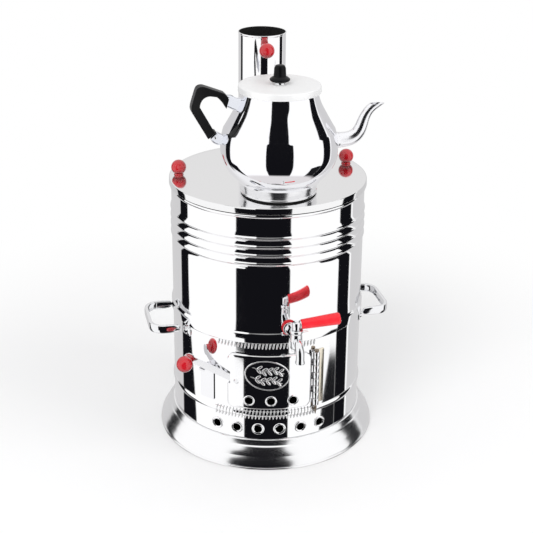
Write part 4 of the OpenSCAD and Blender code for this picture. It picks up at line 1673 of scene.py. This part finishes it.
@dataclass
class Teapot:
    """The teapot that stands on the lid, with its lid."""

    z: float = 334.6
    belly_r: float = 69.3
    wall: float = 1.2
    mouth: float = 106.1
    cover_z: float = 136.0
    grip_x: float = 0.7

    def seat(self) -> Matrix:
        """The place of the teapot on the lid."""
        return shift(*POT_AT, self.z)

    def belly(self) -> bpy.types.Object:
        """Spins the belly, the waist and the cone.

        Returns:
            The pot.
        """
        r, low = self.belly_r, 19.0
        under, ridge, waist = (50.5, 22.5), (65.9, 82.2), (62.1, 88.4)
        cone, brim = (51.2, 108.0), (45.1, 126.0)
        out = [(0.0, low), (44.0, low)]
        out += eased([(48.6, 19.1, 0), (49.3, 20.4, 0.6), (*under, 0)], 4, closed=False)
        out += bow(under, (r, 38.4), (r, 58.0), 36)[1:]
        out += bow((r, 58.0), (r, 71.0), ridge, 24)[1:]
        step = [(*ridge, 0), (64.9, 83.7, 0.9), (64.0, 85.2, 0.9), (*waist, 0)]
        out += eased(step, 4, closed=False)[1:]
        out += bow(waist, (56.6, 98.2), cone, 10)[1:]
        out += bow(cone, (45.8, 118.8), brim, 12)[1:]
        out += [(45.3, 127.8), (45.3, 129.0)]
        floor = low + self.wall
        back = [(x - self.wall, max(z, floor)) for x, z in reversed(out) if x > 1]
        outline = out + back + [(0.0, floor)]
        obj = Bench.lathe("pot_belly", outline, steps=224, smooth=40, closed=False)
        return Bench.place(obj, self.seat())

    def foot(self, crew: Crew) -> bpy.types.Object:
        """Turns the ring that the teapot stands on, with painted contact shade at its lowest edge.

        Args:
            crew: Gives the painted shade on the rim.

        Returns:
            The ring.
        """
        out = eased([(43.0, 4.2, 0.1), (44.4, 4.2, 0.1), (44.6, 5.8, 0.2), (45.8, 6.2, 0.7),
                     (45.7, 7.9, 0.7), (44.8, 8.4, 0.4), (46.6, 19.1, 0.2), (45.4, 19.1, 0),
                     (43.4, 8.4, 0.5), (43.0, 6.4, 0.4)])
        obj = Bench.lathe("pot_foot", out, steps=192, smooth=45)
        # Painted contact shade: the faces below 5.9 mm get the near-black finish.
        crew.darken(obj, lambda face: face.center.z < 5.9 * MM)
        return Bench.place(obj, self.seat())

    def spout(self) -> bpy.types.Object:
        """Lofts the bent spout with its thin open lip.

        Returns:
            The spout.
        """
        path = ((66.6, 63.6, 10.6), (69.0, 63.6, 10.2), (71.5, 63.6, 9.7), (71.7, 63.6, 9.15),
                (78.7, 63.8, 8.95), (83.7, 64.2, 8.8), (88.1, 65.5, 8.6), (92.3, 67.6, 8.4),
                (96.1, 71.2, 8.05), (98.7, 75.8, 7.6), (100.5, 80.6, 7.2), (102.0, 85.4, 6.8),
                (103.8, 90.2, 6.35), (106.1, 94.8, 6.0), (109.1, 99.0, 5.7), (112.9, 102.4, 5.4),
                (116.3, 104.6, 5.2), (119.9, 106.8, 5.0), (124.3, 109.7, 4.9), (128.7, 112.6, 4.8))
        last = len(path) - 1

        def ring(n: int, less: float) -> list[Point]:
            """Makes one station of the spout.

            Args:
                n: The station's number along the path.
                less: The wall that is taken off the radius.

            Returns:
                The station's points, in metres.
            """
            a, b = path[max(n - 1, 0)], path[min(n + 1, last)]
            d = math.atan2(b[1] - a[1], b[0] - a[0])
            x, z, r = path[n]
            r -= less
            return [((x - r * math.cos(w) * math.sin(d)) * MM, r * math.sin(w) * MM,
                     (z + r * math.cos(w) * math.cos(d)) * MM)
                    for w in (2 * math.pi * k / 40 for k in range(40))]

        rings = [ring(n, 0.0) for n in range(last + 1)] + [ring(n, 0.9) for n in range(last, 0, -1)]
        obj = Bench.loft("pot_spout", rings, 50)
        Bench.finish(obj, "SUBSURF", levels=1, render_levels=1)
        above = [(0, self.mouth), (22, self.mouth), (22, 130), (0, 130)]
        Bench.cut(obj, Bench.lathe("mouth_tool", above, (120.0, 0.0), 48))
        Bench.close(obj, 50)
        return Bench.place(obj, self.seat())

    def handle(self) -> bpy.types.Object:
        """Moulds the angular handle with rounded edges.

        Returns:
            The handle.
        """
        outer = [(-61.5, 121.5), (-63.4, 125.6), (-66.8, 129.0), (-86.0, 136.4)]
        outer += bow((-90.5, 138.0), (-97.6, 139.2), (-99.6, 133.4), 6) + [(-104.6, 117.4)]
        outer += bow((-105.2, 114.4), (-105.9, 110.6), (-104.2, 107.4), 4)
        outer += [(-86.0, 75.4), (-76.2, 83.6)]
        inner = [(-78.8, 84.2)] + bow((-95.4, 114.2), (-94.0, 125.8), (-83.6, 126.4), 10)
        inner += bow((-76.0, 125.2), (-70.6, 121.6), (-64.6, 110.6), 6)
        obj = Bench.loft("pot_grip", [upright(outer + inner, y) for y in (7.0, -7.0)], 30)
        Bench.bevel(obj, 2.2, 60)
        return Bench.place(obj, self.seat() @ shift(self.grip_x, 0, 0))

    def brackets(self) -> bpy.types.Object:
        """Casts the two brackets that hold the handle, each a little thinner at its end.

        Returns:
            The brackets as one piece.
        """
        upper = [(-44.0, 108.0), (-44.0, 120.6), (-52.0, 121.6), (-58.4, 125.2), (-63.8, 125.4),
                 (-66.4, 118.6), (-64.4, 112.6), (-58.0, 109.0), (-51.6, 106.4)]
        lower = [(-62.0, 67.4), (-62.0, 76.8), (-68.0, 78.2), (-75.4, 82.6), (-83.4, 75.4),
                 (-80.0, 69.6), (-74.6, 67.0)]
        half, taper = 4.3, 0.06
        parts = []
        for outline in (upper, lower):
            middle = sum(x for x, _ in outline) / len(outline)
            rows = []
            for side in (1, -1):
                sheet = [(x, side * (half - taper * (x - middle)), z) for x, z in outline]
                rows.append([(x * MM, y * MM, z * MM) for x, y, z in sheet])
            parts.append(Bench.bevel(Bench.loft("bracket", rows, 30), 2.0, 30))
        obj = Bench.join("pot_brackets", parts)
        return Bench.place(obj, self.seat() @ shift(self.grip_x, 0, 0))

    def pins(self) -> bpy.types.Object:
        """Turns the two pins that cross the brackets and the handle.

        Returns:
            The pins as one piece.
        """
        corners = [(0, -6.5, 0), (1.6, -6.5, 0.5), (1.6, 6.5, 0.5), (0, 6.5, 0)]
        first = Bench.lathe("pot_pin", eased(corners, 4, closed=False), steps=32)
        places = [shift(x, 0, z) @ turned(90, "X") for x, z in ((-64.5, 118.6), (-76.9, 76.6))]
        return Bench.place(Bench.repeat("pot_pins", first, places), self.seat())

    def cover(self) -> bpy.types.Object:
        """Turns the teapot's shallow lid.

        Returns:
            The lid.
        """
        top = self.cover_z
        out = [(2.0, top), (7.0, top), (20.0, top - 0.1), (34.0, top - 0.25), (44.0, top - 0.4)]
        rim = [(44.0, top - 0.4, 0), (48.1, top - 0.6, 2.2), (48.6, 128.6, 0), (48.5, 127.7, 0.4),
               (47.6, 127.7, 0.3), (46.6, 129.2, 0)]
        out += eased(rim, 7, closed=False)[1:]
        out += [(46.4, top - 2.2), (44.0, top - 1.6), (43.3, top - 1.6), (43.3, 124.0),
                (42.3, 124.0), (42.3, top - 1.4), (7.0, top - 1.2), (2.0, top - 1.2)]
        return Bench.place(Bench.lathe("pot_cover", out, steps=192, smooth=45), self.seat())

    def knob(self) -> bpy.types.Object:
        """Turns the black knob in its two steps.

        Returns:
            The knob.
        """
        z = self.cover_z
        out = eased([(0, z + 1.4, 0), (6.3, z + 1.4, 0.3), (8.6, z + 2.4, 0.9),
                     (11.7, z + 3.8, 2.0), (12.1, z + 5.6, 2.0), (9.9, z + 7.4, 1.6),
                     (7.4, z + 8.9, 1.6), (7.1, z + 13.0, 2), (6.8, z + 18.4, 2.6),
                     (5.2, z + 21.8, 2.6), (0, z + 22.6, 2)], 6, closed=False)
        return Bench.place(Bench.lathe("pot_knob_top", out, steps=96, smooth=60), self.seat())

    def neck(self) -> bpy.types.Object:
        """Turns the bright neck under the knob.

        Returns:
            The neck.
        """
        z = self.cover_z
        out = eased([(0, z - 0.2, 0), (6.5, z - 0.2, 0), (6.4, z + 0.4, 0.3), (6.2, z + 1.5, 0),
                     (0, z + 1.5, 0)], 4, closed=False)
        return Bench.place(Bench.lathe("pot_knob_neck", out, steps=64), self.seat())

    def build(self, crew: Crew) -> None:
        """Makes and dresses the teapot.

        Args:
            crew: Takes the pieces.
        """
        belly = self.belly()
        belly.visible_glossy = False
        crew.hire(belly, "teapot", "pot_aluminium", "pot_polish", ["teapot_body"])
        crew.hire(self.foot(crew), "teapot", "pot_aluminium", "pot_turned", ["teapot_foot"])
        crew.hire(self.spout(), "teapot", "pot_aluminium", "spout_steel", ["teapot_spout"])
        crew.hire(self.handle(), "teapot", "black_bakelite", "black_bakelite", ["teapot_handle"])
        crew.hire(self.brackets(), "teapot", "tap_chrome", "bracket_chrome", ["teapot_ferrules"])
        crew.hire(self.pins(), "teapot", "tap_chrome", "chrome", ["teapot_pins"])
        cover, knob = self.cover(), self.knob()
        cover.visible_glossy = knob.visible_glossy = False
        crew.hire(cover, "teapot_lid", "pot_lid_satin", "pot_satin", ["pot_lid"])
        crew.hire(knob, "teapot_lid", "black_bakelite", "black_bakelite", ["pot_knob"])
        crew.hire(self.neck(), "teapot_lid", "tap_chrome", "chrome")


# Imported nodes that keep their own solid, each with its finish.
KEPT = {
    "base_plate": "inner_steel",
    "grate_ledge": "inner_steel",
    "fire_grate": "grate_iron",
    "tank_floor": "inner_steel",
    "flue_tube": "inner_steel",
    "handle_rivets": "chrome",
    "hinge_pin": "worn_pin",
    "latch_keeper": "pressed_steel",
    "latch_rivet": "chrome",
    "tap_seal": "red_seal",
    "tap_backnut": "nut_brass",
    "tap_nut": "chrome",
    "lid_screws": "chrome",
    "chimney_stud": "chrome",
    "pot_screw": "chrome",
}


# ---- studio ----


@dataclass
class Studio:
    """Camera, floor, lamps and what polished metal mirrors.

    Places are in metres and the lens in millimetres. Pitch and roll are in radians, other
    angles in degrees.
    """

    turn: float = -13.0
    distance: float = 1.4068
    height: float = 0.826
    pitch: float = 0.3617
    roll: float = 0.0098
    lens: float = 81.04
    shift: Pair = (-0.0021, -0.110)
    lamp_size: float = 1.2
    lamp_aim: Point = (0.0, 0.0, 0.22)

    def camera(self) -> None:
        """Sets up the camera."""
        a = math.radians(self.turn)
        flat, drop = math.cos(self.pitch), math.sin(self.pitch)
        ahead = Vector((-math.sin(a) * flat, math.cos(a) * flat, -drop))
        right = Vector((math.cos(a), math.sin(a), 0.0))
        up = right.cross(ahead)
        c, s = math.cos(self.roll), math.sin(self.roll)
        right, up = right * c + up * s, up * c - right * s
        data = bpy.data.cameras.new("view")
        data.lens = self.lens
        data.sensor_width = 36.0
        data.shift_x, data.shift_y = self.shift
        data.clip_start = 0.02
        obj = bpy.data.objects.new("view", data)
        bpy.context.collection.objects.link(obj)
        place = Matrix((right, up, -ahead)).transposed().to_4x4()
        place.translation = (math.sin(a) * self.distance, -math.cos(a) * self.distance, self.height)
        obj.matrix_world = place
        bpy.context.scene.camera = obj

    def gaps(self, t: Tree, turn: Sig, climb: Sig) -> Sig:
        """Places the dark gaps between the pale walls of the studio.

        Args:
            t: The world's tree.
            turn: How far a direction lies to the right of the camera's side.
            climb: How far it points up.

        Returns:
            The gaps as a signal from 0 to 1.
        """
        low = 1.0 - climb.step(-32.0, -24.0)
        # The broad gap lies in front, and its edges move with the height.
        left = -37.0 + 12.0 * climb.step(24.0, 36.0) + 10.5 * band(climb, -34.0, -27.7, 0.4)
        left = left + 12.0 * (1.0 - climb.step(-37.0, -34.0))
        right = 27.6 - 4.6 * climb.step(20.0, 36.0)
        front = band(turn, left, right, 0.7) * (1.0 - climb.step(48.0, 58.0))
        # A slit stands on either side and ends below the pale ceiling.
        short = 1.0 - climb.step(30.0, 44.0)
        edge = -109.0 + 13.0 * low - 8.0 * climb.step(8.0, 28.0)
        slit_left = band(turn, -126.0, edge, 0.8) * short
        slit_right = band(turn, 95.0, 117.0, 0.8) * short
        return t.math("MAXIMUM", front, t.math("MAXIMUM", slit_left, slit_right))

    def walls(self, t: Tree, turn: Sig, climb: Sig) -> Sig:
        """Colours the pale walls, which are greyer behind and dark low on the right.

        Args:
            t: The world's tree.
            turn: How far a direction lies to the right of the camera's side.
            climb: How far it points up.

        Returns:
            The walls' colour.
        """
        away = t.math("ABSOLUTE", turn)
        low = 1.0 - climb.step(-32.0, -24.0)
        # Grey far behind, a lighter grey above it, and nearly black low beside the right slit.
        behind = away.step(119.0, 122.0) * (1.0 - climb.step(5.0, 40.0))
        pale = t.blend(behind, (1.08, 1.08, 1.08), (0.66, 0.655, 0.66))
        top = climb.step(8.0, 22.0) * away.step(120.0, 150.0) * (1.0 - climb.step(34.0, 60.0))
        pale = t.blend(top, pale, (0.86, 0.855, 0.855))
        dusk = band(turn, 95.0 - 25.0 * low, 95.0, 0.8) * (1.0 - climb.step(-27.9, -27.2))
        return t.blend(dusk, pale, (0.012, 0.012, 0.014))

    def world(self) -> None:
        """Surrounds the samovar with a pale studio that has dark gaps, for mirror rays only."""
        world = bpy.data.worlds.new("studio")
        bpy.context.scene.world = world
        world.use_nodes = True
        t = Tree(world.node_tree)
        a = math.radians(self.turn)
        look = t.out(t.node("TexCoord"), "Generated")
        front = t.out(t.vector("DOT_PRODUCT", look, (math.sin(a), -math.cos(a), 0.0)), "Value")
        side = t.out(t.vector("DOT_PRODUCT", look, (math.cos(a), math.sin(a), 0.0)), "Value")
        rise = t.out(t.node("SeparateXYZ", None, {0: look}), 2)
        turn = t.math("ARCTAN2", side, front) * (180 / math.pi)
        climb = t.math("ARCSINE", rise) * (180 / math.pi)
        gaps, walls = self.gaps(t, turn, climb), self.walls(t, turn, climb)
        mirrored = t.blend(gaps, walls, (0.006, 0.006, 0.008))
        mirrored = t.blend(climb.step(-57.0, -49.0), (0.79, 0.765, 0.77), mirrored)
        path = t.node("LightPath")
        plain = t.blend(t.out(path, "Is Camera Ray"), (0.74, 0.74, 0.745), (1.0, 1.0, 1.0))
        seen = t.math("MAXIMUM", t.out(path, "Is Glossy Ray"), t.out(path, "Is Transmission Ray"))
        sockets = {"Color": t.blend(seen, plain, mirrored), "Strength": 1.0}
        back = t.node("Background", None, sockets)
        t.node("OutputWorld", None, {"Surface": back.outputs[0]})

    def floor(self) -> None:
        """Lays the pale floor, which fades to white away from the samovar."""
        Bench.clear()
        bpy.ops.mesh.primitive_circle_add(
            vertices=64, radius=6.0, fill_type="NGON", location=(0, 0, 0)
        )
        floor = bpy.context.object
        floor.name = "floor"
        finish = Finish("pale_floor", (0.97, 0.97, 0.97))
        material, t = finish.begin()
        away = t.out(t.vector("LENGTH", t.place()), "Value").step(0.28, 0.75)
        matt = t.node("BsdfDiffuse", None, {"Color": finish.tint})
        glow = t.node("Emission", None, {"Color": (1.0, 1.0, 1.0), "Strength": 1.0})
        seen = away * t.out(t.node("LightPath"), "Is Camera Ray")
        mixed = t.node("MixShader", None, {0: seen, 1: matt.outputs[0], 2: glow.outputs[0]})
        t.node("OutputMaterial", None, {"Surface": mixed.outputs[0]})
        floor.data.materials.append(material)
        floor.visible_glossy = False

    def card(self, name: str, near: float, span: Pair, height: Pair) -> None:
        """Stands a white card that only polished metal mirrors.

        Args:
            name: The card's name.
            near: How far it stands from the samovar's axis toward the camera, in metres.
            span: Where it starts and ends to the side, in metres.
            height: Its lower and upper edge, in metres.
        """
        Bench.clear()
        bpy.ops.mesh.primitive_plane_add(size=1.0, location=(0, 0, 0))
        obj = bpy.context.object
        obj.name = name
        corners = [(x, -near, z) for z in height for x in span]
        for vertex, corner in zip(obj.data.vertices, corners):
            vertex.co = corner
        obj.rotation_euler.z = math.radians(self.turn)
        finish = Finish(name, (1.08, 1.08, 1.08))
        material, t = finish.begin()
        glow = t.node("Emission", None, {"Color": finish.tint, "Strength": 1.0})
        t.node("OutputMaterial", None, {"Surface": glow.outputs[0]})
        obj.data.materials.append(material)
        obj.visible_camera = obj.visible_diffuse = obj.visible_shadow = False

    def lamp(self, name: str, place: Point, power: float) -> None:
        """Hangs one soft lamp that looks at the samovar and that nothing mirrors.

        Args:
            name: The lamp's name.
            place: Where it hangs, in metres.
            power: Its power in watts.
        """
        data = bpy.data.lights.new(name, "AREA")
        data.shape = "RECTANGLE"
        data.size = data.size_y = self.lamp_size
        data.energy = power
        obj = bpy.data.objects.new(name, data)
        bpy.context.collection.objects.link(obj)
        obj.location = place
        aim = Vector(self.lamp_aim) - Vector(place)
        obj.rotation_euler = aim.to_track_quat("-Z", "Y").to_euler()
        obj.visible_glossy = obj.visible_camera = False

    def build(self) -> None:
        """Sets up the whole studio."""
        self.camera()
        self.world()
        self.floor()
        self.card("card_pot", 0.190, (-0.200, -0.031), (0.333, 0.54))
        self.lamp("key", (-1.3, -1.5, 1.9), 22.0)
        self.lamp("fill", (1.6, -1.2, 1.4), 12.0)
        bpy.context.scene.view_settings.view_transform = "Standard"


def main() -> None:
    """Builds the samovar, its finishes and the studio, in that order."""
    logging.basicConfig(level=logging.INFO, format="%(name)s: %(message)s")
    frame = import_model()
    crew = Crew(Finishes())
    parts = (Base(), Firebox(), Tank(), Grips(), Door(), Latch(), Tap(), Lid(), Chimney(), Teapot())
    for part in parts:
        part.build(crew)
    for node, finish in KEPT.items():
        crew.dress(frame, node, finish)
    Studio().build()
    Bench.clear()
    LOG.info("%d pieces", crew.pieces)


if __name__ == "__main__":
    main()
